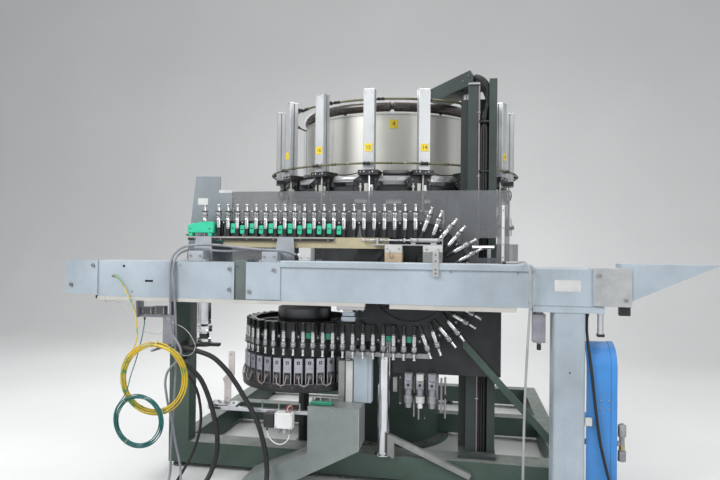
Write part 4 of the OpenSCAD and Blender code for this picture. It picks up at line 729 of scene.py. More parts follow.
def cord_end(name, key, tip, r, length):
    """Screwed connector that lies on the floor past a cord's last point, pointing to the front."""
    p = Piece(name, key, "steel", "black")
    m = to_front(tip[0], tip[1], tip[2])
    c = r - 3
    p.lathe(mm_all(((0, 0.4), (c - 1, 0.4), (c, 2), (c, 8), (r - 1, 9), (r, 10), (r, length * 0.42),
                    (r - 1.2, length * 0.42 + 1))), 24, 0, m)
    for i in range(10):
        a = math.radians(36 * i)
        q = m @ Matrix.Rotation(a, 4, "Z") @ at((r - 0.6) / 1000, 0, 0)
        p.box((-0.0006, -0.0011, length * 0.00014 + 0.004), (0.0006, 0.0011, length * 0.00042), 0.0003, 0, q)
    z = length * 0.42 + 1
    p.lathe([mm(*v) for v in ((r - 1.2, z), (r - 2.4, z + 1), (r - 2.4, z + 4), (r - 0.4, z + 5), (r, z + 6),
                              (r, length - 2), (r - 1, length), (c, length), (c, length + 11), (c - 1, length + 12),
                              (c - 3, length + 12), (c - 3.5, length + 4), (0, length + 4)) if v[0] >= 0], 24, 1, m)
    for i in range(4):
        a = math.radians(45 + 90 * i)
        x, y = 0.42 * (c - 3) * math.cos(a), 0.42 * (c - 3) * math.sin(a)
        p.lathe(mm_all(((1.0, length + 3), (1.0, length + 9), (0, length + 10))), 8, 1, m @ at(x / 1000, y / 1000, 0))
    return p.done("frame", 40, weighted=False)


def relief(name, line, r, length=0.034, key="black"):
    """Gland and tapered sleeve where a cord leaves a housing."""
    p = Piece(name, key, "steel")
    turn = (line[2] - line[0]).to_track_quat("Z", "Y").to_matrix().to_4x4()
    m = at(*line[0]) @ turn
    p.lathe([(0, 0), (r + 0.0065, 0), (r + 0.007, 0.0006), (r + 0.007, 0.008), (r + 0.0062, 0.009),
             (r + 0.004, 0.009)], 6, 1, m)
    p.lathe([(r + 0.004, 0.009), (r + 0.0046, 0.010), (r + 0.0040, 0.016), (r + 0.0026, 0.018), (r + 0.0024, 0.024),
             (r + 0.0012, length - 0.002), (r + 0.0006, length), (r - 0.0006, length)], 20, 0, m)
    return p.done("frame", 35, weighted=False)


def free_cord(name, key, route, r, far_end, ends=(), nodes=(), step=0.008, sides=12, rib=0.0,
              sleeve=0.034):
    """One cord as a tube along its route; rib is the depth of a corrugated hose's waves."""
    line = resample(spline([mm(*p) for p in route], 10), step)
    p = Piece(name, key)
    radii = [r - (rib if i % 2 else 0.0) for i in range(len(line))] if rib else None
    p.tube(line, r, sides, 0, radii=radii)
    obj = p.done("frame", 75, weighted=False)
    if nodes:
        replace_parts(obj, *nodes)
    on = list(ends)
    if sleeve:
        on.append(relief(name + "_sleeve", line, r, sleeve))
    if far_end in ("connector", "fitting") and not ends:
        end_r = {0.017: 21, 0.010: 15, 0.009: 15, 0.008: 12}.get(r, 15)
        on.append(cord_end(name + "_end", "black", line[-1], end_r, 60 if r > 0.012 else 50))
    return obj, line


def band(name, key, line, index, r, width, body="frame"):
    """Tie round a bundle at one point of its middle line."""
    p = Piece(name, key)
    way = (line[index + 1] - line[index - 1]).normalized()
    m = at(*line[index]) @ way.to_track_quat("Z", "Y").to_matrix().to_4x4()
    h = width / 2
    p.lathe([(r, -h), (r + 0.0012, -h), (r + 0.0012, h), (r, h)], 24, 0, m, closed=True)
    p.box((r, -h * 1.2, -h * 1.2), (r + 0.006, h * 1.2, h * 1.2), 0.0008, 0, m)
    return p.done("frame", 40)


def coil_middle(centre, radius):
    return [Vector(mm(centre[0] + radius * math.cos(a), centre[1], centre[2] + radius * math.sin(a)))
            for a in [i * math.pi / 36 for i in range(72)]]


def terminal(name, at_mm, way=(1, 0, 0), r=0.008):
    """Ring terminal under a screw on a plate that faces the front, its sleeve along way."""
    p = Piece(name, "steel", "rubber")
    c = Vector(mm(*at_mm))
    turn = to_front(*c)
    p.lathe([(r, 0), (r, 0.0016), (0.003, 0.0016), (0.003, 0)], 24, 0, turn)
    p.hexagon(c + Vector((0, -0.0016, 0)), c + Vector((0, -0.0070, 0)), r * 0.8)
    w = Vector(way).normalized()
    p.rod(c + w * (r - 0.001) + Vector((0, -0.0035, 0)), c + w * (r + 0.012) + Vector((0, -0.0045, 0)), 0.0048, 14,
          mat=1)
    return p.done("frame", 40)


def ferrule(name, turns, r, key):
    """Crimped sleeve on a coil's loose end."""
    a, b = Vector(mm(*turns[-2])), Vector(mm(*turns[-1]))
    w = (b - a).normalized()
    p = Piece(name, key, "rubber")
    p.rod(b - w * 0.016, b - w * 0.002, r * 1.30, 14, mat=1)
    p.rod(b - w * 0.003, b + w * 0.012, r * 1.05, 12, mat=0)
    return p.done("frame", 40)


EARTH_C, TEAL_C = (-1480, -1574.3, 755), (-1560, -1630.6, 470)
for name, route, node in (("upper", CONDUIT_A, "conduit_a"), ("lower", CONDUIT_B, "conduit_b")):
    free_cord("corrugated_hose_" + name, "conduit", route, 0.009, "connector", nodes=(node,),
              step=0.0026, sides=14, rib=0.0009)
for number, route, r, sides, stiffness in ((1, HOSE_1, 0.017, 20, "stiff"), (2, HOSE_2, 0.017, 20, "stiff"),
                                           (3, HOSE_3, 0.010, 16, "medium"), (4, HOSE_4, 0.009, 16, "medium")):
    free_cord("black_hose_%d" % number, "rubber", route, r, "fitting", nodes=("hose_black",),
              sides=sides)
free_cord("grey_hose_line", "hose_grey", HOSE_GREY, 0.008, "fitting", nodes=("hose_grey",), sides=16,
          sleeve=0.030)
free_cord("junction_lead", "white_plastic", LEAD_WHITE, 0.004, "object", nodes=("hose_grey",),
          step=0.005,
          sleeve=0.020)
earth_turns = winding(EARTH_C, 235, 17.0, 7, 128, 2.4, 5)
earth_ties = [band("earth_tie_%d" % n, key, coil_middle(EARTH_C, 235), i, 0.0225, 0.004)
              for n, (key, i) in enumerate((("white_plastic", 17), ("wire", 38), ("white_plastic", 58)))]
free_cord("earth_wire_coil", "wire", EARTH_LEAD + tuple(earth_turns), 0.0045, "fitting",
          [terminal("earth_terminal", (-1853, -1500, 1459)), ferrule("earth_ferrule", earth_turns, 0.0045, "steel"),
           *earth_ties], ("earth_coil",), step=0.010, sides=10,
          sleeve=0)
teal_turns = winding(TEAL_C, 170, 14.0, 7, 140, 1.8, 9)
teal_ties = [band("teal_tie_%d" % n, key, coil_middle(TEAL_C, 170), i, 0.0185, 0.004)
             for n, (key, i) in enumerate((("beige", 25), ("beige", 48)))]
free_cord("teal_wire_coil", "teal", TEAL_LEAD + tuple(teal_turns), 0.0035, "fitting",
          [ferrule("teal_ferrule", teal_turns, 0.0035, "brass"), *teal_ties], ("teal_coil",),
          step=0.009, sides=10, sleeve=0.024)
for name, route in (("white_wire_left", WIRE_LEFT), ("white_wire_right", WIRE_RIGHT)):
    free_cord(name, "white_wire", route, 0.002, "object", step=0.006, sides=8, sleeve=0)


# ---------------------------------------------------------------- the spindle chain
def spindles():
    p = Piece("spindle_set", "spindle_steel", "black", "steel")
    places = [m @ at(s * PITCH / 4, 0, 0) for m in LINKS for s in (-1, 1)]
    places += [END_LINK @ at(PITCH / 4, 0, 0), END_LINK @ at(-0.072, 0, 0)]
    body = [(0, -38), (13.2, -38), (15.2, -36.4), (15.2, -27), (14.0, -26), (14.0, -22), (16, -21), (16, 10),
            (14.6, 11), (14.6, 14), (16, 15), (16, 30), (14.8, 31.4), (12, 31.8), (12, 37)]
    collar = [(12, 37), (21.6, 37), (23, 38.2), (23, 41.4), (21.4, 42.8), (18.8, 44.2), (18.8, 47), (20.2, 48.4),
              (21, 50), (21, 55), (19.8, 55.8), (19.8, 57.4), (21, 58.2), (21, 69), (20, 71.2), (17, 73.2),
              (12, 74), (12, 80)]
    disc = [(10, 80), (25.6, 80), (26.8, 81), (26.8, 83), (25.6, 84), (10, 84)]
    tip = [(10.6, 84), (10.2, 96), (9.2, 104), (9, 122), (9.6, 123.6), (12.2, 125.4), (13, 126.6), (13, 129.6),
           (12, 131.4), (10.4, 131.9), (8.6, 131.9), (8.2, 129), (0, 129)]
    shank = [(0, -102.9), (4.6, -102.9), (5.9, -101.6), (5.9, -92), (5.2, -91.2), (5.2, -89.6), (5.9, -88.8),
             (5.9, -38)]
    for m in places:
        for profile, mat, segs in ((shank, 2, 16), (body, 0, 28), (collar, 2, 28), (disc, 1, 28), (tip, 0, 24)):
            p.lathe(mm_all(profile), segs, mat, m)
    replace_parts(p.done("frame", 50, weighted=False), "spindles")


def pin_caps():
    p = Piece("pin_caps", "black", "steel")
    ring = [(6, 7), (16.4, 7), (17.5, 8), (17.5, 15.2), (16.6, 16), (9, 16)]
    stud = [(6.2, 16), (6.2, 28.3)]
    cap = [(0, 4), (5.4, 4), (6.4, 5), (6.4, 7), (11.5, 7.4), (12.2, 8.4), (12.2, 9.4), (16, 9.4)]
    ball = [(0, 38.8)] + [(10.5 * math.sin(a), 28.3 + 10.5 * math.cos(a)) for a in
                          [math.radians(v) for v in range(15, 150, 15)]] + [(6.2, 19.5)]
    turn = spin(-90, "X")
    for m in LINKS + [END_LINK]:
        place = m @ at(PITCH / 2, 0, 0) @ turn
        p.lathe(mm_all(ring), 24, 0, place)
        p.lathe(mm_all(cap), 20, 1, place)
        p.lathe(mm_all(stud), 12, 1, place)
        p.lathe(mm_all(ball), 16, 1, place)
    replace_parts(p.done("frame", 50, weighted=False), "ball_pins")


def clip_set():
    p = Piece("clip_set", "green", "black", "green_dark")
    front = LINK_V[0]

    def clip(m, z0, z1, mat=0, thick=0.011):
        w = 0.0178
        r = 0.006
        outline = []
        for cx, cz, a0 in ((w - r, z1 - r, 0), (-w + r, z1 - r, 90), (-w + r, z0 + r, 180), (w - r, z0 + r, 270)):
            outline += [(cx + r * math.cos(math.radians(a0 + a)), cz + r * math.sin(math.radians(a0 + a)))
                        for a in (0, 30, 60, 90)]
        p.prism(outline, "y", front - thick, front, 0.0022, mat, m)
        mid = (z0 + z1) / 2
        if z1 - z0 > 0.05:
            p.box((-0.009, front - thick - 0.0006, mid - 0.004), (0.009, front - thick + 0.002, mid + 0.004), 0.001,
                  1, m)

    for k in range(4, 10):
        clip(on_upper(k), -0.078, -0.006)
        clip(on_upper(k) @ at(PITCH / 2 - 0.001, 0, 0), -0.082, -0.020)
    # The lower run's clips take the darker green_dark copy: painted shade, as they take less light.
    for k in (0, 1, 4, 5):
        clip(on_lower(k), -0.032, 0.011, 2)
    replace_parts(p.done("frame"), "green_clips")
    e = Piece("end_block", "green", "black", "steel")
    block = [(-197, -78), (8, -78), (8, -10), (-4, 5), (-104, 5), (-116, -8), (-172, -8), (-197, -24)]
    e.prism(mm_all(block), "y", -0.025, 0.032, 0.004, 0, END_LINK)
    for x in (-0.175, -0.025):
        e.box((x - 0.015, -0.020, -0.1028), (x + 0.015, 0.027, -0.078), 0.003, 0, END_LINK)
        e.socket_screw((x + END_LINK.translation.x, CHAIN_Y - 0.025, END_LINK.translation.z - 0.045), (0, -1, 0),
                       0.006, 0.004, 2, 1)
    e.lathe(mm_all(((24, 5), (24, 6.5), (19, 7.5), (16.5, 7.5))), 28, 1, END_LINK @ at(-0.072, 0, 0))
    e.done("frame")


def chain_trim():
    """Set screws on the links."""
    p = Piece("link_screws", "steel", "black")
    for m in LINKS:
        for s in (-1, 1):
            q = m @ at(s * 0.036, 0, 0)
            p.lathe(mm_all(((12.6, -99), (13.6, -98), (13.6, -93), (12.6, -92), (12.1, -92))), 20, 1, q)
            p.lathe(mm_all(((12.1, -46), (13.4, -45), (13.4, -41), (12.4, -40), (6.2, -39))), 20, 0, q)
    p.done("frame", 50, weighted=False)


spindles()
pin_caps()
clip_set()
chain_trim()


# ---------------------------------------------------------------- the blow wheel's top
UNIT_Z, UNIT_H = 2.261, 0.605
UNIT_W, UNIT_D = 0.083, 0.075
DRUM_Z, DRUM_TOP, DRUM_R = 2.225, 2.741, 0.800
RING_R = STATION_R - 0.050


def profile_outline(w, d):
    """Slotted extrusion in plan: local X is depth (outward), local Y is width. Corner by corner, anticlockwise."""
    hw, hd = w / 2, d / 2
    lip, deep, wide = 0.0042, 0.0115, 0.0095

    def slot_y(sign):
        """Slot in a side face, seen walking along -X for +Y and +X for -Y."""
        o = [(0.0045, 0), (0.0045, -lip), (wide, -lip), (wide, -deep), (-wide, -deep), (-wide, -lip),
             (-0.0045, -lip), (-0.0045, 0)]
        return [(sign * x, sign * (hw + y)) for x, y in o]

    pts = [(hd, -hw + 0.004), (hd, hw - 0.004), (hd - 0.004, hw)]
    pts += slot_y(1)
    pts += [(-hd + 0.004, hw), (-hd, hw - 0.004)]
    for s in (1, -1):
        c = s * w / 4
        pts += [(-hd, c + 0.0045), (-hd + lip, c + 0.0045), (-hd + lip, c + 0.008), (-hd + deep, c + 0.008),
                (-hd + deep, c - 0.008), (-hd + lip, c - 0.008), (-hd + lip, c - 0.0045), (-hd, c - 0.0045)]
    pts += [(-hd, -hw + 0.004), (-hd + 0.004, -hw)]
    pts += slot_y(-1)
    pts += [(hd - 0.004, -hw)]
    return pts


def stretch_units():
    p = Piece("stretch_profiles", "white_ext", "black", "steel", "silver_z")
    top = UNIT_Z + UNIT_H
    outline = profile_outline(UNIT_W, UNIT_D)
    for k in range(STATIONS):
        m = station(k) @ at(STATION_R, 0, 0)
        p.prism(outline, "z", UNIT_Z + 0.010, top - 0.012, 0.0, 0, m)
        for z0, z1 in ((top - 0.012, top), (UNIT_Z, UNIT_Z + 0.010)):
            p.box((-UNIT_D / 2, -UNIT_W / 2, z0), (UNIT_D / 2, UNIT_W / 2, z1), 0.0018, 3, m)
        for sx in (-1, 1):
            for sy in (-1, 1):
                q = m @ at(sx * 0.026, sy * 0.030, top)
                p.lathe([(0.0052, 0), (0.0052, 0.0028), (0.0044, 0.0034), (0.0028, 0.0034), (0.0026, 0.0012),
                         (0, 0.0010)], 14, 2, q)
        p.lathe(mm_all(((9, 0), (9, 4), (7, 5), (7, 9), (8.4, 10), (8.4, 15), (6, 16), (5, 18), (0, 18))), 16, 2,
                m @ at(-0.012, 0.016, top))
        p.lathe(mm_all(((6, 0), (6, 6), (5, 7), (5, 10), (0, 10))), 14, 1, m @ at(0.014, -0.014, top))
        face = UNIT_D / 2
        for z in (UNIT_Z + 0.062, top - 0.030):
            for s in (-1, 1):
                q = m @ at(face, s * 0.026, z) @ spin(90, "Y")
                p.lathe([(0.0048, -0.001), (0.0048, 0.0016), (0.0040, 0.0022), (0.0022, 0.0022), (0, 0.0008)], 12,
                        2, q)
        p.box((face - 0.001, -0.0405, UNIT_Z + 0.012), (face + 0.0012, -0.0365, top - 0.014), 0.0004, 3, m)
        p.box((face - 0.001, 0.0365, UNIT_Z + 0.012), (face + 0.0012, 0.0405, top - 0.014), 0.0004, 3, m)
    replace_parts(p.done("blow_wheel", 35), "stretch_units")


def plates():
    p = Piece("number_plate_set", "yellow", "black")
    x = STATION_R + UNIT_D / 2
    z = UNIT_Z + 0.166
    for k in range(STATIONS):
        p.box((x, -0.030, z - 0.028), (x + 0.003, 0.030, z + 0.028), 0.0007, 0, station(k))
    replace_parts(p.done("blow_wheel"), "number_plates")
    numbers = Piece("station_numbers", "black")
    for k in range(STATIONS):
        label = str((STATIONS - 1 - k - 1) % STATIONS + 1)
        m = station(k) @ at(x + 0.0030, 0, z) @ spin(90, "Z") @ spin(90, "X")
        add_text(numbers, label, 0.040, m)
    drum_plate = station(0) @ spin(10.0, "Z") @ at(DRUM_R + 0.001, 0, 2.652)
    face = drum_plate @ spin(90, "Z") @ spin(90, "X")
    add_text(numbers, "4", 0.052, face @ at(0, 0, 0.0031))
    numbers.done("blow_wheel", weighted=False)
    q = Piece("drum_plate", "yellow")
    q.box((-0.034, -0.034, -0.003), (0.034, 0.034, 0.003), 0.0007, 0, face)
    q.done("blow_wheel")


def add_text(piece, text, height, m, depth=0.0006):
    """Raised figures from Blender's own plain font, centred on the place."""
    curve = bpy.data.curves.new("figures", "FONT")
    curve.body = text
    curve.size = height
    curve.align_x = "CENTER"
    curve.align_y = "CENTER"
    curve.extrude = depth
    curve.resolution_u = 3
    obj = bpy.data.objects.new("figures", curve)
    scene.collection.objects.link(obj)
    bpy.context.view_layer.update()
    graph = bpy.context.evaluated_depsgraph_get()
    me = bpy.data.meshes.new_from_object(obj.evaluated_get(graph))
    verts = [v.co.copy() for v in me.vertices]
    faces = [list(f.vertices) for f in me.polygons]
    piece._faces(verts, faces, 0, False, m)
    bpy.data.objects.remove(obj)
    bpy.data.curves.remove(curve)
    bpy.data.meshes.remove(me)


def drum_trim():
    p = Piece("drum_trim", "stainless", "steel", "silver_z", "black")
    for k in range(4):
        m = station(4 * k + 2) @ spin(15.5, "Z")
        p.box((DRUM_R - 0.001, -0.016, DRUM_Z + 0.020), (DRUM_R + 0.0022, 0.016, DRUM_TOP - 0.012), 0.0006, 0, m)
        for z in (DRUM_Z + 0.05, DRUM_Z + 0.20, DRUM_Z + 0.36, DRUM_TOP - 0.04):
            for s in (-1, 1):
                q = m @ at(DRUM_R + 0.002, s * 0.009, z) @ spin(90, "Y")
                p.lathe([(0.0045, 0), (0.0042, 0.0014), (0.002, 0.0024), (0, 0.0026)], 12, 1, q)
    rim = [(DRUM_R - 0.010, DRUM_TOP - 0.0005), (DRUM_R + 0.003, DRUM_TOP - 0.0005),
           (DRUM_R + 0.006, DRUM_TOP - 0.003), (DRUM_R + 0.006, DRUM_TOP - 0.012),
           (DRUM_R + 0.003, DRUM_TOP - 0.015), (DRUM_R - 0.0005, DRUM_TOP - 0.015)]
    p.lathe(rim, 128, 0)
    foot = [(DRUM_R - 0.0005, DRUM_Z + 0.016), (DRUM_R + 0.008, DRUM_Z + 0.016), (DRUM_R + 0.010, DRUM_Z + 0.014),
            (DRUM_R + 0.010, DRUM_Z)]
    p.lathe(foot, 128, 2)
    p.done("blow_wheel", 40)


stretch_units()
plates()
drum_trim()


# ---------------------------------------------------------------- hoses and fittings of the stations
def torus_line(radius, z, count=192):
    return [(radius * math.cos(2 * math.pi * i / count), radius * math.sin(2 * math.pi * i / count),
             z) for i in range(count)]


def hose_lines():
    """Olive hoses round the stations with their unions and clips."""
    p = Piece("hose_lines", "olive", "black", "steel")
    hi_r, hi_z = RING_R - 0.050, UNIT_Z + UNIT_H - 0.046
    lo_r, lo_z = STATION_R + 0.066, UNIT_Z + 0.044
    p.tube(torus_line(hi_r, hi_z), 0.009, 12, 0, closed=True)
    p.tube(torus_line(lo_r, lo_z), 0.008, 12, 0, closed=True)
    union = [(8.4, -26), (12, -26), (13, -24), (13, -9), (10.6, -7), (10.6, 7), (13, 9), (13, 24), (12, 26),
             (8.4, 26)]
    lie = spin(90, "X")
    for k in range(STATIONS):
        m = station(k)
        p.lathe(mm_all(union), 12, 1, m @ spin(3.9, "Z") @ at(hi_r, 0, hi_z) @ lie, True)
        p.box((hi_r - 0.012, -0.014, hi_z - 0.012), (STATION_R - UNIT_D / 2, 0.014, hi_z + 0.012), 0.003, 1, m)
        p.lathe(mm_all(union), 12, 1, m @ spin(-0.4, "Z") @ at(lo_r, 0, lo_z) @ lie, True)
        p.box((STATION_R + UNIT_D / 2, -0.016, lo_z - 0.008), (lo_r, 0.010, lo_z + 0.011), 0.003, 1, m)
        for a in (8.0, 9.2, 14.5):
            small = [(8.2, -4), (9.6, -4), (10.2, -3), (10.2, 3), (9.6, 4), (8.2, 4)]
            p.lathe(mm_all(small), 12, 2 if a > 14 else 1, m @ spin(a, "Z") @ at(lo_r, 0, lo_z) @ lie, True)
    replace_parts(p.done("blow_wheel", 50, weighted=False), "hose_rings")


def foot_trim():
    """Screws, hoses and valve bodies on the feet of the stations."""
    p = Piece("foot_trim", "steel", "black", "white_plastic", "silver_z", "cable")
    front = STATION_R + UNIT_D / 2
    for k in range(STATIONS):
        m = station(k)
        for y, z, r in ((-0.033, UNIT_Z - 0.013, 5.5), (0.033, UNIT_Z - 0.013, 5.5), (-0.060, UNIT_Z - 0.014, 4),
                        (0.010, UNIT_Z - 0.020, 3.5)):
            q = m @ at(front, y, z) @ spin(90, "Y")
            p.lathe([mm(r, 0), mm(r, 2.4), mm(r - 1, 3.6), mm(r * 0.5, 3.6), mm(r * 0.45, 2.0), mm(0, 1.8)], 14, 2, q)
        face = RING_R + 0.026
        for y, z in ((-0.112, DRUM_Z - 0.046), (-0.075, DRUM_Z - 0.030), (0.046, DRUM_Z - 0.030),
                     (0.036, DRUM_Z - 0.110)):
            q = m @ at(face, y, z) @ spin(90, "Y")
            p.lathe([mm(5, 0), mm(5, 3), mm(4, 4), mm(2.4, 4), mm(2.2, 2), mm(0, 1.8)], 14, 0, q)
        p.box((face, 0.000, DRUM_Z - 0.122), (face + 0.022, 0.030, DRUM_Z - 0.070), 0.003, 3, m)
        p.box((face, 0.002, DRUM_Z - 0.070), (face + 0.016, 0.028, DRUM_Z - 0.040), 0.004, 1, m)
        p.lathe(mm_all(((0, 0), (10, 0), (11, 1), (11, 16), (9, 18), (9, 28), (6, 30), (0, 30))), 18, 0,
                m @ at(face + 0.011, 0.015, DRUM_Z - 0.152))
        loop = [(1.012, -0.100, 2.176), (1.030, -0.112, 2.180), (1.046, -0.120, 2.158), (1.046, -0.118, 2.118),
                (1.030, -0.108, 2.090), (1.008, -0.096, 2.078)]
        p.tube([m @ Vector(v) for v in spline(loop, 5)], 0.0042, 8, 4)
        loop = [(1.012, 0.050, 2.172), (1.028, 0.058, 2.178), (1.040, 0.066, 2.150), (1.034, 0.062, 2.110),
                (1.016, 0.046, 2.086)]
        p.tube([m @ Vector(v) for v in spline(loop, 5)], 0.0034, 8, 4)
    p.done("blow_wheel", 45, weighted=False)


def pipe_joint():
    """Ends and union of the air pipe."""
    p = Piece("pipe_joint", "pipe", "black", "chrome")
    run, z = DRUM_R - 0.023, DRUM_TOP + 0.055
    for a in (0, 180):
        m = spin(STATION_TURN - 90 + 9 + a, "Z") @ at(run, 0, z)
        for s in (-1, 1):
            q = m @ at(0, s * 0.0240, 0) @ spin(-90 * s, "X")
            p.lathe([(0.0405, 0.004), (0.0415, 0.002), (0.0410, -0.003), (0.0375, -0.009), (0.0300, -0.0135),
                     (0.0195, -0.0155)], 32, 0, q)
            p.lathe([(0.0225, -0.0140), (0.0235, -0.0150), (0.0235, -0.0185), (0.018, -0.0190), (0.015, -0.0190)],
                    6, 1, q)
        q = m @ spin(90, "X")
        p.lathe([(0.0155, -0.008), (0.026, -0.008), (0.027, -0.007), (0.027, 0.007), (0.026, 0.008),
                 (0.0155, 0.008)], 6, 1, q, closed=True)
    p.done("blow_wheel", 40, weighted=False)


hose_lines()
foot_trim()
pipe_joint()


# ---------------------------------------------------------------- gantry, screen and brackets
def gantry_cables():
    """Cable bundle that comes over the arm's end and runs down the post's recess."""
    p = Piece("gantry_cables", "cable")
    draw = random.Random(21)
    lanes = [(0.758, -1.048, 0.0075), (0.774, -1.050, 0.0085), (0.792, -1.046, 0.0090), (0.802, -1.030, 0.0070),
             (0.766, -1.026, 0.0090), (0.784, -1.022, 0.0095), (0.764, -1.002, 0.0085), (0.786, -0.998, 0.0085),
             (0.800, -1.006, 0.0060), (0.774, -0.978, 0.0090), (0.794, -0.974, 0.0085)]
    for x, y, r in lanes:
        s, t = draw.uniform(-1, 1), draw.uniform(-1, 1)
        top = 2.905 + 0.030 * s
        route = [(0.615, -0.800 + 0.010 * t, 2.905 + 0.012 * s), (0.664, -0.880 + 0.008 * t, 2.918 + 0.012 * s),
                 (0.706, -0.958 + 0.010 * t, top + 0.022), (0.740, -0.988 + 0.010 * t, top + 0.016),
                 (0.775 + 0.012 * s, -1.005, top - 0.025), (0.800 + 0.012 * s, -1.012 + 0.006 * t, top - 0.085),
                 (0.800 + 0.010 * t, -1.014, 2.740), (0.782 + (x - 0.782) * 0.7, -1.012 + (y + 1.012) * 0.7, 2.650),
                 (0.781 + (x - 0.781) * 0.55, -1.012 + (y + 1.012) * 0.6, 2.600), (x, y, 2.520), (x, y, 2.300),
                 (x, y, 1.9), (x + 0.002 * s, y, 1.4), (x, y, 0.8), (x, y, 0.232)]
        p.tube(spline(route, 5), r, 10, 0)
    p.done("frame", 75, weighted=False)
    tie = Piece("gantry_tie", "black")
    for z in (2.600, 2.240, 1.900):
        tie.box((0.750, -1.062, z - 0.008), (0.812, -0.952, z + 0.008), 0.004, 0)
        tie.box((0.740, -1.066, z - 0.010), (0.752, -1.050, z + 0.010), 0.003, 0)
    tie.done("frame")
    q = Piece("gantry_trim", "gantry_paint", "pale_steel", "pink_pipe", "steel", "weld")
    q.box((0.664, -1.0745, 2.8655), (0.746, -1.0598, 2.8785), 0.0015, 1)
    q.rod((0.740, -1.0485, 0.226), (0.740, -1.0485, 2.862), 0.0083, 16, mat=2)
    for z in (0.60, 1.30, 1.75, 2.20, 2.66):
        q.box((0.728, -1.0605, z), (0.752, -1.0385, z + 0.012), 0.002, 3)
    arm = spin(-57.5, "Z")
    web = 0.0465
    for x, z in ((1.095, 2.938), (1.168, 2.958)):
        head = arm @ at(x, web, z) @ spin(90, "X")
        q.lathe(mm_all(((8, 0), (8, 5), (7, 6.5), (4.4, 6.5), (4.2, 3), (0, 2.8))), 18, 3, head)
    q.done("frame", 40)


def bracket_set():
    """Arms, feet and blocks that carry the guide rail and bar on the beam."""
    p = Piece("bracket_set", "bracket_paint", "white_paint", "wood", "steel", "block_grey")
    for x in (-1.235, -0.614):
        p.prism([(x - 0.077, 1.576), (x + 0.077, 1.576), (x + 0.066, 1.751), (x - 0.052, 1.751)], "y", -1.354,
                -1.346, 0.0015)
    for x in (-1.235, -0.688):
        p.box((x - 0.055, -1.464, 1.570), (x + 0.055, -1.354, 1.646), 0.003)
        for s in (-1, 1):
            p.socket_screw((x + s * 0.036, -1.464, 1.612), (0, -1, 0), 0.0075, 0.006, 3)
        p.box((x - 0.075, -1.4642, 1.5705), (x - 0.055, -1.400, 1.586), 0.002)
        p.box((x + 0.055, -1.4642, 1.5705), (x + 0.075, -1.400, 1.586), 0.002)
        for s in (-0.065, 0.065):
            p.hexagon((x + s, -1.430, 1.586), (x + s, -1.430, 1.594), 0.009, 3)
    p.box((-0.490, -1.420, 1.586), (-0.405, -1.300, 1.6747), 0.0025, 1)
    p.box((0.112, -1.420, 1.586), (0.228, -1.300, 1.650), 0.002, 2)
    p.box((0.112, -1.420, 1.650), (0.228, -1.336, 1.700), 0.002, 1)
    p.box((0.112, -1.336, 1.650), (0.228, -1.300, 1.6747), 0.002, 4)
    p.box((0.370, -1.420, 1.586), (0.500, -1.336, 1.656), 0.002, 4)
    p.box((0.370, -1.420, 1.656), (0.500, -1.336, 1.700), 0.002, 1)
    for x, z in ((0.395, 1.675), (0.475, 1.675), (0.130, 1.676), (0.210, 1.676)):
        p.socket_screw((x, -1.420, z), (0, -1, 0), 0.0055, 0.004, 3)
    for x in (-0.472, -0.423):
        p.socket_screw((x, -1.420, 1.606), (0, -1, 0), 0.005, 0.004, 3)
    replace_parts(p.done("frame"), "rail_brackets")
    q = Piece("rail_trim", "black", "green_dark", "steel", "copper")
    q.box((-1.3525, -1.3467, 1.7222), (-0.258, -1.3459, 1.7410), 0.0003, 0)
    for x in (-1.30, -1.10, -0.90, -0.70, -0.50, -0.30):
        q.lathe(mm_all(((4, 0), (4, 1.6), (3, 2.4), (0, 2.4))), 12, 2, to_front(x, -1.3467, 1.7315))
    q.box((-1.137, -1.3455, 1.7155), (-1.078, -1.318, 1.7415), 0.004, 1)
    wire = [(0.150, -1.4215, 1.668), (0.146, -1.4225, 1.640), (0.150, -1.4235, 1.622), (0.160, -1.4230, 1.612),
            (0.172, -1.4225, 1.622), (0.170, -1.4220, 1.636)]
    q.tube(spline(wire, 5), 0.0016, 6, 3)
    q.done("frame")


def screen_trim():
    p = Piece("screen_trim", "white_paint", "steel", "chrome", "black", "bracket_paint")
    p.box((-1.344, -1.2078, 1.992), (-1.263, -1.2071, 2.040), 0.0002, 0)
    p.box((-1.176, -1.2078, 2.080), (-1.068, -1.2071, 2.101), 0.0002, 0)
    for z in (1.625, 1.716, 1.828, 1.950):
        p.lathe(mm_all(((5, 0), (5, 1.8), (4, 2.6), (2, 2.6), (1.8, 1.2), (0, 1))), 14, 1,
                to_front(0.906, -1.2071, z))
    for x in (-1.060, -1.085):
        for z in (1.640, 1.800, 1.960, 2.050):
            p.lathe(mm_all(((5, 0), (5, 1.8), (4, 2.6), (2, 2.6), (1.8, 1.2), (0, 1))), 14, 1,
                    to_front(x, -1.2071, z))
    for x in (-0.90, -0.40, 0.10, 0.55):
        p.box((x - 0.022, -1.2075, 1.571), (x + 0.022, -1.1995, 1.592), 0.001, 4)
        p.socket_screw((x, -1.2075, 1.581), (0, -1, 0), 0.0045, 0.003, 1)
    p.rod((0.690, -1.228, 1.694), (0.846, -1.165, 1.692), 0.0155, 24, mat=2)
    p.rod((0.846, -1.165, 1.692), (0.856, -1.161, 1.692), 0.0185, 24, mat=3)
    p.box((0.800, -1.192, 1.5702), (0.826, -1.172, 1.682), 0.002, 4)
    p.rod((-1.075, -1.2795, 1.937), (0.352, -1.2795, 1.937), 0.0022, 10, mat=2)
    for x in (-1.060, 0.340):
        p.box((x - 0.006, -1.2830, 1.930), (x + 0.006, -1.2071 if x < 0 else -1.1991, 1.944), 0.001, 1)
    p.done("frame", 40)


gantry_cables()
bracket_set()
screen_trim()


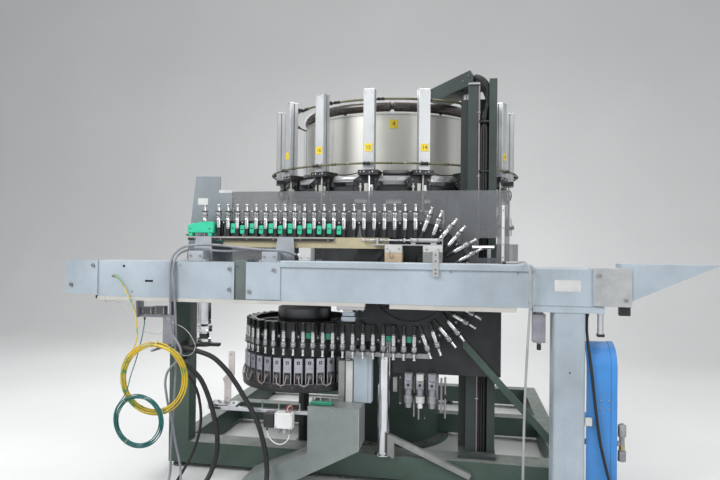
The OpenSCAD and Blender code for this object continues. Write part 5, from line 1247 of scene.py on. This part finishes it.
# ---------------------------------------------------------------- tensioner
def tensioner_trim():
    p = Piece("tensioner_trim", "steel", "white_paint", "black", "blue_dark")
    y, z = CHAIN_Y - 0.040, 1.7350
    p.hexagon((0.030, y, z), (0.0475, y, z), 0.0125, 0)
    p.hexagon((0.0605, y, z), (0.0665, y, z), 0.0125, 0)
    for x in (0.286, 0.330, 0.470):
        p.lathe(mm_all(((15.2, -6), (17, -5), (17, 5), (15.2, 6))), 28, 0, at(x, y, z) @ spin(90, "Y"))
    p.rod((0.478, y, z), (0.496, y, z), 0.0085, 16, mat=0)
    for x in (0.035, 0.130, 0.250, 0.360, 0.430, 0.488):
        p.lathe(mm_all(((4, 0), (4, 3), (3, 4), (1.8, 4), (1.6, 2), (0, 2))), 12, 0, at(x, y - 0.010, 1.708))
    p.rod((0.4965, y + 0.002, 1.7085), (0.4965, y + 0.002, 1.776), 0.0055, 14, mat=0)
    p.lathe(mm_all(((0, 0), (9, 0), (10, 1), (10, 7), (8, 9), (0, 9))), 16, 0, at(0.4965, y + 0.002, 1.776))
    for z1 in (1.520, 1.545, 1.600, 1.640):
        p.lathe(mm_all(((5, 0), (5, 1.5), (4, 2.2), (2.4, 2.2), (2.2, 0.8), (0, 0.8))), 14, 2,
                to_front(0.460, -1.520, z1))
    p.done("frame", 40)
    p = Piece("rod_nut", "steel")
    p.hexagon((0.226, y, z), (0.2355, y, z), 0.0125, 0)
    p.done("tension_rod", 40)


tensioner_trim()


# ---------------------------------------------------------------- beams, plates and column
def beam_trim():
    p = Piece("beam_trim", "beam_paint", "steel", "black", "white_paint", "satin_plate", "weld")
    p.box((1.437, -1.5172, 1.3345), (1.661, -1.5160, 1.5705), 0.0008, 4)
    p.box((1.206, -1.5048, 1.421), (1.363, -1.5040, 1.493), 0.0003, 3)
    for x, z in ((1.302, 0.911), (-0.905, 1.540)):
        p.lathe([(0.0055, 0), (0.0055, 0.0006), (0, 0.0007)], 16, 2, to_front(x, -1.500, z))
    for x, z in ((-0.971, 1.523), (-0.969, 1.377), (-1.330, 1.545), (-1.700, 1.350), (-0.60, 1.350), (0.560, 1.530),
                 (1.050, 1.345),
                 (0.98, 1.53)):
        p.lathe(mm_all(((6.5, 0), (6.5, 2.5), (5.5, 3.6), (3, 3.6), (2.8, 1.6), (0, 1.4))), 16, 1,
                to_front(x, -1.500, z))
    bead = []
    for i in range(72):
        bead.append((1.078 + i * 0.006, -1.5052, 1.3295 + 0.0006 * math.sin(i * 2.1)))
    p.tube(bead[:60], 0.0022, 6, 5)
    p.tube([(1.206 + i * 0.004, -1.5008, 1.2865 + 0.0005 * math.sin(i * 1.9)) for i in range(47)], 0.0022, 6, 5)
    for x in (1.206, 1.394):
        p.tube([(x, -1.4995 + 0.0004 * math.sin(i), 0.022 + 0.0002 * i) for i in range(4)], 0.003, 6, 5)
    for x in (-1.960, -0.945):
        p.tube([(x, -1.5003, 1.316 + i * 0.006) for i in range(42)], 0.0016, 6, 0)
    for x in (1.175, 1.420):
        for y in (-1.498, -1.278):
            p.hexagon((x, y, 0.020), (x, y, 0.034), 0.016, 1)
            p.rod((x, y, 0.034), (x, y, 0.048), 0.008, 14, mat=1)
    p.done("frame", 40)


def guard_trim():
    p = Piece("guard_trim", "blue", "steel", "chrome", "brass", "white_paint", "black")

    def side(r):
        return [(-1.320 - r, 0.064)] + [(-1.320 - r * math.cos(a), 0.940 + r * math.sin(a))
                                        for a in [math.radians(v) for v in range(0, 91, 9)]]
    for x0, x1, proud in ((1.556, 1.590, 0.004), (1.4085, 1.4145, 0.003)):
        outer, inner = side(0.150 + proud), side(0.1499)
        p.prism(outer + inner[::-1], "x", x0, x1, 0.0)
    for x in (1.495, 1.542):
        for z in (0.741, 0.688):
            p.lathe(mm_all(((6, 0), (6, 1), (4.6, 2.8), (2, 3.6), (0, 3.8))), 16, 1, to_front(x, -1.4702, z))
    p.box((1.398, -1.492, 0.583), (1.440, -1.4745, 0.634), 0.002, 4)
    m = at(1.488, -1.470, 0)
    p.lathe([(0.0181, 1.158), (0.0195, 1.158), (0.0195, 1.176), (0.0186, 1.178), (0.0186, 1.272), (0.0205, 1.274),
             (0.0205, 1.286), (0.018, 1.287)], 28, 2, m)
    p.box((1.466, -1.486, 1.140), (1.512, -1.452, 1.160), 0.004, 5)
    m = at(1.625, -1.450, 0)
    p.lathe([(0.020, 0.366), (0.0245, 0.368), (0.0252, 0.372), (0.0252, 0.388), (0.0235, 0.392), (0.0245, 0.396),
             (0.0245, 0.426), (0.0225, 0.431), (0.016, 0.433)], 28, 1, m)
    p.lathe([(0.0155, 0.434), (0.0185, 0.436), (0.0185, 0.470), (0.016, 0.474), (0.0162, 0.516)], 6, 3, m)
    p.lathe([(0.016, 0.516), (0.0235, 0.519), (0.0252, 0.523), (0.0252, 0.552), (0.0235, 0.556), (0.0250, 0.560),
             (0.0250, 0.586), (0.022, 0.592), (0.012, 0.593), (0.012, 0.600), (0, 0.600)], 28, 1, m)
    p.done("frame", 40)


beam_trim()
guard_trim()


# ---------------------------------------------------------------- loading wheel
def loading_trim():
    """Window pins, rollers and hose loops on the gripper fingers, and the drum hub's steel cover."""
    p = Piece("finger_trim", "black", "steel", "pink_hose", "chrome")
    top, bottom, inner = 0.8857, 0.7007, 0.446
    for k in range(36):
        m = at(LOAD_X, LOAD_Y, 0) @ spin(k * 10, "Z")
        front = inner + 0.012
        p.box((inner - 0.006, -0.013, top - 0.044), (inner + 0.004, 0.013, top - 0.018), 0.001, 0, m)
        turn = spin(90, "Y")
        p.lathe(mm_all(((5.2, 0), (5.2, 7), (4.2, 8.4), (0, 8.4))), 14, 3,
                m @ at(inner + 0.004, 0, top - 0.031) @ turn)
        p.lathe(mm_all(((11.2, -0.4), (13, 0.4), (13, 7.4), (12.4, 8.8), (9.6, 8.8), (9.2, 8.0))), 20, 1,
                m @ at(front, 0, bottom + 0.054) @ turn)
        p.lathe(mm_all(((9.2, 7.9), (8.8, 8.1), (0, 8.1))), 20, 0, m @ at(front, 0, bottom + 0.054) @ turn)
        p.lathe(mm_all(((4.4, 7.8), (4.4, 10.6), (3.4, 11.4), (0, 11.4))), 14, 1,
                m @ at(front, 0, bottom + 0.054) @ turn)
        p.box((front, -0.0235, bottom + 0.004), (front + 0.0022, 0.0235, bottom + 0.084), 0.0008, 0, m)
        p.box((front, -0.0262, bottom + 0.006), (front + 0.0030, -0.0240, bottom + 0.060), 0.0006, 2, m)
        if k % 2 == 0:
            side = 0.458 * math.radians(10)
            loop = [(front + 0.010, 0.004, bottom + 0.050), (front + 0.016, 0.006, bottom + 0.024),
                    (front + 0.017, 0.014, bottom + 0.004), (front + 0.017, side * 0.5, bottom - 0.006),
                    (front + 0.016, side - 0.014, bottom + 0.003), (front + 0.014, side - 0.005, bottom + 0.026),
                    (front + 0.008, side - 0.003, bottom + 0.050)]
            p.tube([m @ Vector(v) for v in spline(loop, 4)], 0.0027, 7, 2)
        for y in (0.018, -0.018):
            p.lathe(mm_all(((3.6, 0), (3.6, 2), (2.8, 2.8), (0, 2.8))), 10, 1, m @ at(front, y, top - 0.070) @ turn)
    p.done("loading_wheel", 45, weighted=False)
    q = Piece("hub_cover", "hub_steel", "black")
    m = at(LOAD_X, LOAD_Y, 0)
    q.lathe([(0.2052, 1.139), (0.2066, 1.1396), (0.2072, 1.142), (0.2072, 1.206), (0.2066, 1.2085),
             (0.2052, 1.2092)], 96, 0, m)
    # Inner drum wall in the black finish: partly a real wall, partly painted shade, its black standing in for the
    # shaded interior behind the spindles.
    wall = [(0.3960, 0.6715), (0.3975, 0.690), (0.3975, 0.884), (0.3945, 0.888), (0.3945, 0.930), (0.3975, 0.934),
            (0.3975, 1.0935), (0.3880, 1.0935), (0.3880, 0.6715)]
    q.lathe(wall, 120, 1, m, True)
    q.lathe([(0.4702, 0.648), (0.4722, 0.650), (0.4722, 0.668), (0.4708, 0.670), (0.4722, 0.672), (0.4722, 0.694),
             (0.4702, 0.697)], 144, 1, m)
    for k in range(36):
        n = m @ spin(k * 10 + 5, "Z") @ at(0.4722, 0, 0.682) @ spin(90, "Y")
        q.lathe(mm_all(((5, 0), (5, 1.6), (4, 2.4), (0, 2.4))), 12, 0, n)
    q.done("loading_wheel", 40)


loading_trim()


# ---------------------------------------------------------------- under the beam
def supports():
    """Plates, column and rail that guide the lower run, the silver bar with its bent strap, and the stay."""
    p = Piece("support_set", "silver", "beam_paint", "white_paint", "block_grey", "steel", "black", "pale_pink",
              "dark_green")
    low = 1.44600 - RUN_R
    z0, z1, y1, duct = low - 0.122, low - 0.087, -1.265, 0.585
    p.box((-0.180, y1 - 0.010, z0), (0.420, y1, z1), 0.0015, 4)
    p.box((-0.121, y1, duct), (0.009, y1 + 0.070, z1), 0.004, 1)
    p.box((-0.0195, y1 - 0.0022, duct), (-0.0165, y1, z0 - 0.002), 0.0006, 4)
    p.box((-0.178, y1, duct), (-0.128, y1 + 0.040, z0 - 0.040), 0.002, 2)
    p.box((-0.231, y1, duct), (-0.186, y1 + 0.040, z0 - 0.040), 0.002, 3)
    p.box((-0.228, y1 - 0.006, duct), (-0.190, y1, duct + 0.055), 0.004, 3)
    for x in (-0.222, -0.196):
        p.socket_screw((x, y1 - 0.006, duct + 0.040), (0, -1, 0), 0.005, 0.004, 4)
    p.box((-1.139, -1.440, 0.525), (-0.408, -1.400, 0.549), 0.0015, 0)
    # Flat black patch on the silver bar's front: painted shade standing in for the bar's slot.
    p.box((-1.112, -1.4412, 0.532), (-1.040, -1.4395, 0.542), 0.0005, 5)
    for x in (-0.740, -0.620, -0.469):
        p.rod((x, -1.420, 0.549), (x, -1.420, 0.597), 0.0055, 14, mat=4)
        p.hexagon((x, -1.420, 0.549), (x, -1.420, 0.557), 0.0105, 4)
    p.box((-1.139, -1.440, 0.549), (-0.929, -1.330, 0.563), 0.0015, 0)
    p.box((-1.118, -1.4408, 0.5535), (-0.990, -1.4395, 0.5585), 0.0004, 5)
    for x, y in ((-1.110, -1.415), (-1.060, -1.400), (-1.010, -1.418), (-0.965, -1.392), (-1.090, -1.360)):
        p.socket_screw((x, y, 0.563), (0, 0, 1), 0.0075, 0.008, 4)
    strap = [(-1.050, 0.563), (-1.000, 0.563), (-1.000, 0.690), (-0.975, 0.760), (-0.975, 0.925), (-1.020, 0.925),
             (-1.020, 0.770), (-1.063, 0.727), (-1.050, 0.690)]
    p.prism(strap, "y", -1.360, -1.350, 0.0012, 6)
    for x, z in ((-0.998, 0.905), (-0.998, 0.780), (-1.025, 0.590), (-1.025, 0.660)):
        p.lathe(mm_all(((5, 0), (5, 2), (4, 3), (2.4, 3), (2.2, 1.4), (0, 1.2))), 14, 4, to_front(x, -1.360, z))
    stay = [(0.146, 0.200), (0.170, 0.200), (0.170, 0.310), (0.690, 0.090), (0.704, 0.124), (0.142, 0.362),
            (0.120, 0.362), (0.120, 0.212), (0.146, 0.212)]
    p.prism(stay, "y", -1.2431, -1.1994, 0.0015, 3)
    for t in (0.12, 0.20, 0.24, 0.70, 0.78):
        x, z = 0.170 + t * 0.52, 0.336 - t * 0.22
        p.socket_screw((x, -1.2431, z), (0, -1, 0), 0.007, 0.005, 4)
    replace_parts(p.done("frame"), "wheel_supports")


def duct_trim():
    p = Piece("duct_trim", "duct", "pale_steel", "steel", "green_dark")
    # Pale steel strip on the duct's folded front edge: a real flange, its pale colour partly a painted highlight along
    # that edge.
    p.box((-0.0530, -1.4412, 0.302), (-0.0480, -1.1994, 0.5862), 0.0006, 1)
    p.box((-0.4085, -1.4412, 0.5850), (-0.0480, -1.4300, 0.5868), 0.0005, 0)
    p.box((-0.400, -1.405, 0.5868), (-0.245, -1.360, 0.612), 0.004, 3)
    for x in (-0.385, -0.330, -0.262):
        p.rod((x, -1.382, 0.612), (x, -1.382, 0.640 + 0.012 * math.sin(x * 50)), 0.007, 14, mat=2)
    for x, z in ((-0.39, 0.565), (-0.23, 0.565), (-0.07, 0.565), (-0.39, 0.32), (-0.068, 0.34)):
        p.lathe(mm_all(((5, 0), (4.6, 1.4), (2, 2.2), (0, 2.4))), 14, 2, to_front(x, -1.440, z))
    p.done("frame", 40)


def box_set():
    """Junction box, relay box, limit switch and the small box under the right end plate."""
    p = Piece("box_set", "white_plastic", "black", "steel", "switch_blue", "silver", "red", "white_paint")
    p.box((-0.626, -1.498, 0.439), (-0.500, -1.440, 0.545), 0.004, 0)
    p.box((-0.6245, -1.500, 0.4405), (-0.5015, -1.4965, 0.5435), 0.0035, 0)
    for x in (-0.615, -0.511):
        for z in (0.450, 0.534):
            p.lathe(mm_all(((4, 0), (4, 1), (3.4, 1.6), (1.4, 1.6), (1.2, 0.4), (0, 0.4))), 14, 2,
                    to_front(x, -1.500, z))
    for x, metal in ((-0.600, 2), (-0.563, 6), (-0.526, 2)):
        m = at(x, -1.470, 0.3987)
        p.lathe(mm_all(((0, 0), (6, 0), (9, 4), (10, 9), (10, 12))), 18, metal, m)
        p.lathe(mm_all(((10, 12), (12, 12.6), (12, 22), (10, 23))), 6, metal, m)
        p.lathe(mm_all(((10, 23), (11.5, 24), (11.5, 40))), 18, metal, m)
    p.box((-0.706, -1.496, 0.439), (-0.632, -1.440, 0.535), 0.003, 1)
    p.box((-0.7045, -1.498, 0.4405), (-0.6335, -1.4945, 0.5335), 0.002, 1)
    for s, x in ((0, -0.553), (1, -0.540), (2, -0.526)):
        wire = [(x, -1.470, 0.5445), (x - 0.002, -1.470, 0.566), (x + 0.004, -1.464, 0.584),
                (x + 0.014, -1.452, 0.588), (x + 0.018, -1.436, 0.576), (x + 0.016, -1.420, 0.5490)]
        p.tube(spline(wire, 5), 0.0022, 8, 5 if s != 1 else 0)
        p.lathe(mm_all(((4.5, 0), (4.5, 8), (3, 9.5), (0, 9.5))), 12, 5, at(x, -1.470, 0.5448))
    p.box((1.598, -1.480, 1.276), (1.664, -1.440, 1.340), 0.003, 1)
    p.box((-0.200, -1.500, 1.264), (-0.010, -1.450, 1.286), 0.002, 4)
    for x in (-0.188, -0.150, -0.062, -0.024):
        p.hexagon((x, -1.486, 1.264), (x, -1.486, 1.256), 0.008, 2)
    p.box((-0.150, -1.494, 1.249), (-0.090, -1.470, 1.264), 0.002, 4)
    p.box((-0.162, -1.496, 1.2195), (-0.078, -1.450, 1.249), 0.005, 3)
    p.box((-0.168, -1.498, 1.185), (-0.072, -1.448, 1.2175), 0.006, 3)
    p.box((-0.164, -1.495, 1.2165), (-0.076, -1.451, 1.2200), 0.001, 1)
    p.lathe(mm_all(((0, 0), (9, 0), (10, 1), (10, 10), (8, 11), (8, 18), (0, 18))), 16, 1,
            at(-0.072, -1.473, 1.2020) @ spin(90, "Y"))
    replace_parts(p.done("frame"), "electrical_boxes")


SWITCH_LEAD = ((-53.5, -1473, 1202), (-38, -1472, 1203), (-14, -1468, 1210), (14, -1458, 1226), (44, -1446, 1246),
               (74, -1432, 1262),
               (104, -1414, 1274), (128, -1396, 1284), (140, -1384, 1297), (142, -1378, 1309.7))


def valve_trim():
    """Fittings on the valve blocks and air units."""
    p = Piece("valve_trim", "valve", "steel", "black", "white_paint", "dark_box", "brass", "chrome")
    x0, x1 = 1.080, 1.158
    p.box((x0 + 0.003, -1.4712, 1.094), (x1 - 0.003, -1.4698, 1.262), 0.001, 0)
    for x in (x0 + 0.010, x1 - 0.010):
        for z in (1.100, 1.255):
            p.socket_screw((x, -1.4712, z), (0, -1, 0), 0.005, 0.003, 1)
    p.lathe(mm_all(((0, 0), (11, 0), (14, 4), (14, 30), (12.4, 32), (12.4, 52))), 20, 2, at(1.122, -1.430, 1.036))
    p.lathe(mm_all(((12.4, 0), (15, 1), (15, 10), (12.4, 11))), 6, 1, at(1.122, -1.430, 1.075))
    p.rod((1.086, -1.430, 1.2885), (1.086, -1.430, 1.262), 0.009, 14, mat=1)
    for a, b in ((-1.716, -1.630), (-1.610, -1.529)):
        top = 1.225 if a < -1.7 else 1.232
        p.box((a + 0.003, -1.3512, 1.172), (b - 0.003, -1.3498, top - 0.003), 0.001, 4)
        for i in range(3):
            z = 1.182 + i * 0.017
            p.box((a + 0.010, -1.3536, z), (a + 0.018, -1.3510, z + 0.009), 0.001, 3)
        p.box((b - 0.010, -1.3545, 1.176), (b - 0.003, -1.3505, top - 0.008), 0.001, 3)
    p.box((-1.722, -1.3515, 1.1515), (-1.520, -1.3500, 1.1685), 0.001, 0)
    for x in (-1.705, -1.660, -1.600, -1.540):
        p.socket_screw((x, -1.3515, 1.160), (0, -1, 0), 0.0055, 0.004, 1)
    for x in (0.264, 0.346, 0.430):
        y = -1.2272
        p.box((x - 0.022, y - 0.010, 0.700), (x + 0.022, y, 0.742), 0.002, 1)
        p.lathe(mm_all(((10, 0), (10, 4), (8, 5), (0, 5))), 18, 2, to_front(x, y - 0.010, 0.721))
        p.box((x - 0.024, y - 0.006, 0.750), (x + 0.024, y, 0.796), 0.002, 3 if x == 0.346 else 0)
        m = at(x, -1.1991, 0)
        p.lathe([(0.0222, 0.556), (0.0235, 0.558), (0.0235, 0.590)], 24, 6 if x == 0.346 else 1, m)
        p.lathe([(0.0302, 0.592), (0.0318, 0.594), (0.0318, 0.606), (0.0308, 0.608), (0.0318, 0.610),
                 (0.0318, 0.636), (0.0302, 0.638)], 24, 3 if x == 0.346 else 1, m)
    p.done("frame", 40)


def infeed_trim():
    p = Piece("infeed_trim", "chrome", "black", "steel")
    m = at(-1.231, CHAIN_Y, 0)
    p.lathe([(0.0482, 1.142), (0.0490, 1.143), (0.0490, 1.266), (0.0482, 1.268)], 64, 0, m)
    p.lathe([(0.0482, 1.1415), (0.0496, 1.1405), (0.0496, 1.113), (0.0486, 1.111), (0.0455, 1.1105),
             (0.0455, 1.1415)], 64, 0, m, True)
    p.done("frame", 35)
    q = Piece("star_trim", "steel", "black", "chrome")
    sleeve = [(0.0245, 1.0985), (0.0570, 1.0985), (0.0590, 1.0965), (0.0590, 1.0790), (0.0565, 1.0760),
              (0.0565, 1.0700), (0.0590, 1.0670), (0.0590, 1.0560), (0.0570, 1.0540), (0.0345, 1.0520),
              (0.0335, 1.0500), (0.0335, 1.0100), (0.0360, 1.0080), (0.0480, 1.0060), (0.0500, 1.0040),
              (0.0500, 0.9820), (0.0480, 0.9800), (0.0245, 0.9795)]
    q.lathe(sleeve, 64, 2, m, True)
    for a in (0, 120, 240):
        n = m @ spin(a, "Z")
        q.lathe([(0.0092, 0.950), (0.013, 0.950), (0.0135, 0.951), (0.0135, 0.971), (0.013, 0.972),
                 (0.0092, 0.972)], 20, 2, n @ at(0.098, 0, 0), True)
        q.socket_screw(n @ Vector((0.045, 0, 0.972)), (0, 0, 1), 0.006, 0.005, 0)
    q.done("infeed_shaft", 40)


supports()
duct_trim()
box_set()
valve_trim()
infeed_trim()
free_cord("switch_lead", "cable", SWITCH_LEAD, 0.0035, "object", step=0.006, sides=8, sleeve=0)


def strips():
    """Flat bars and guide rods of the mechanism under the back plate."""
    p = Piece("mechanism_strips", "block_grey", "valve", "black", "steel", "white_paint")
    y = -1.1392
    bars = ((0.149, 0.179, 0.651, 0.756, 0), (0.190, 0.214, 0.560, 0.770, 2), (0.2415, 0.2445, 0.600, 0.770, 3),
            (0.328, 0.340, 0.462, 0.765, 0), (0.372, 0.384, 0.465, 0.770, 2), (0.404, 0.418, 0.560, 0.770, 3),
            (0.452, 0.470, 0.609, 0.770, 1), (0.486, 0.500, 0.520, 0.760, 0))
    for x0, x1, z0, z1, mat in bars:
        p.box((x0, y - 0.030, z0), (x1, y, z1), 0.0018, mat)
        for z in (z0 + 0.012, z1 - 0.014):
            p.socket_screw(((x0 + x1) / 2, y - 0.030, z), (0, -1, 0), 0.0042 if x1 - x0 < 0.02 else 0.006, 0.004, 3)
    for x in (0.300, 0.520):
        p.rod((x, y - 0.018, 0.480), (x, y - 0.018, 0.770), 0.007, 16, mat=3)
        p.box((x - 0.014, y - 0.034, 0.620), (x + 0.014, y, 0.648), 0.003, 2)
    p.done("frame", 40)


def ring_covers():
    """Bent sheet covers and pipe stubs on the base ring between the stations, and the cables clipped to them."""
    p = Piece("ring_covers", "black", "pale_steel", "steel", "cable")
    for k in range(STATIONS):
        m = station(k) @ spin(11.25, "Z")
        if k % 2 == 0:
            p.prism([(0.880, 2.1855), (0.9765, 2.1855), (0.9765, 2.205), (0.950, 2.232), (0.880, 2.232)], "y",
                    -0.098, 0.098, 0.002, 0, m @ at(0, 0, 0.0398))
        else:
            p.box((0.884, -0.105, 2.2252), (0.974, 0.105, 2.2300), 0.0012, 1, m)
            for s in (-0.085, 0.085):
                p.hexagon(m @ Vector((0.950, s, 2.2300)), m @ Vector((0.950, s, 2.2370)), 0.008, 2)
        p.box((0.9800, -0.120, 2.190), (0.9822, 0.120, 2.219), 0.0008, 1, m)
        for s in (-0.100, 0.0, 0.100):
            q = m @ at(0.9822, s, 2.2045) @ spin(90, "Y")
            p.lathe(mm_all(((5.5, 0), (5.5, 2.6), (4.4, 3.8), (2.6, 3.8), (2.4, 1.8), (0, 1.6))), 14, 2, q)
        line = [m @ Vector(v) for v in spline([(0.976, -0.150, 2.262), (0.986, -0.100, 2.246),
                                               (0.990, -0.030, 2.236), (0.990, 0.050, 2.240), (0.984, 0.120, 2.256),
                                               (0.974, 0.160, 2.268)], 4)]
        p.tube(line, 0.0042, 8, 3)
    p.done("blow_wheel", 45, weighted=False)


strips()
ring_covers()
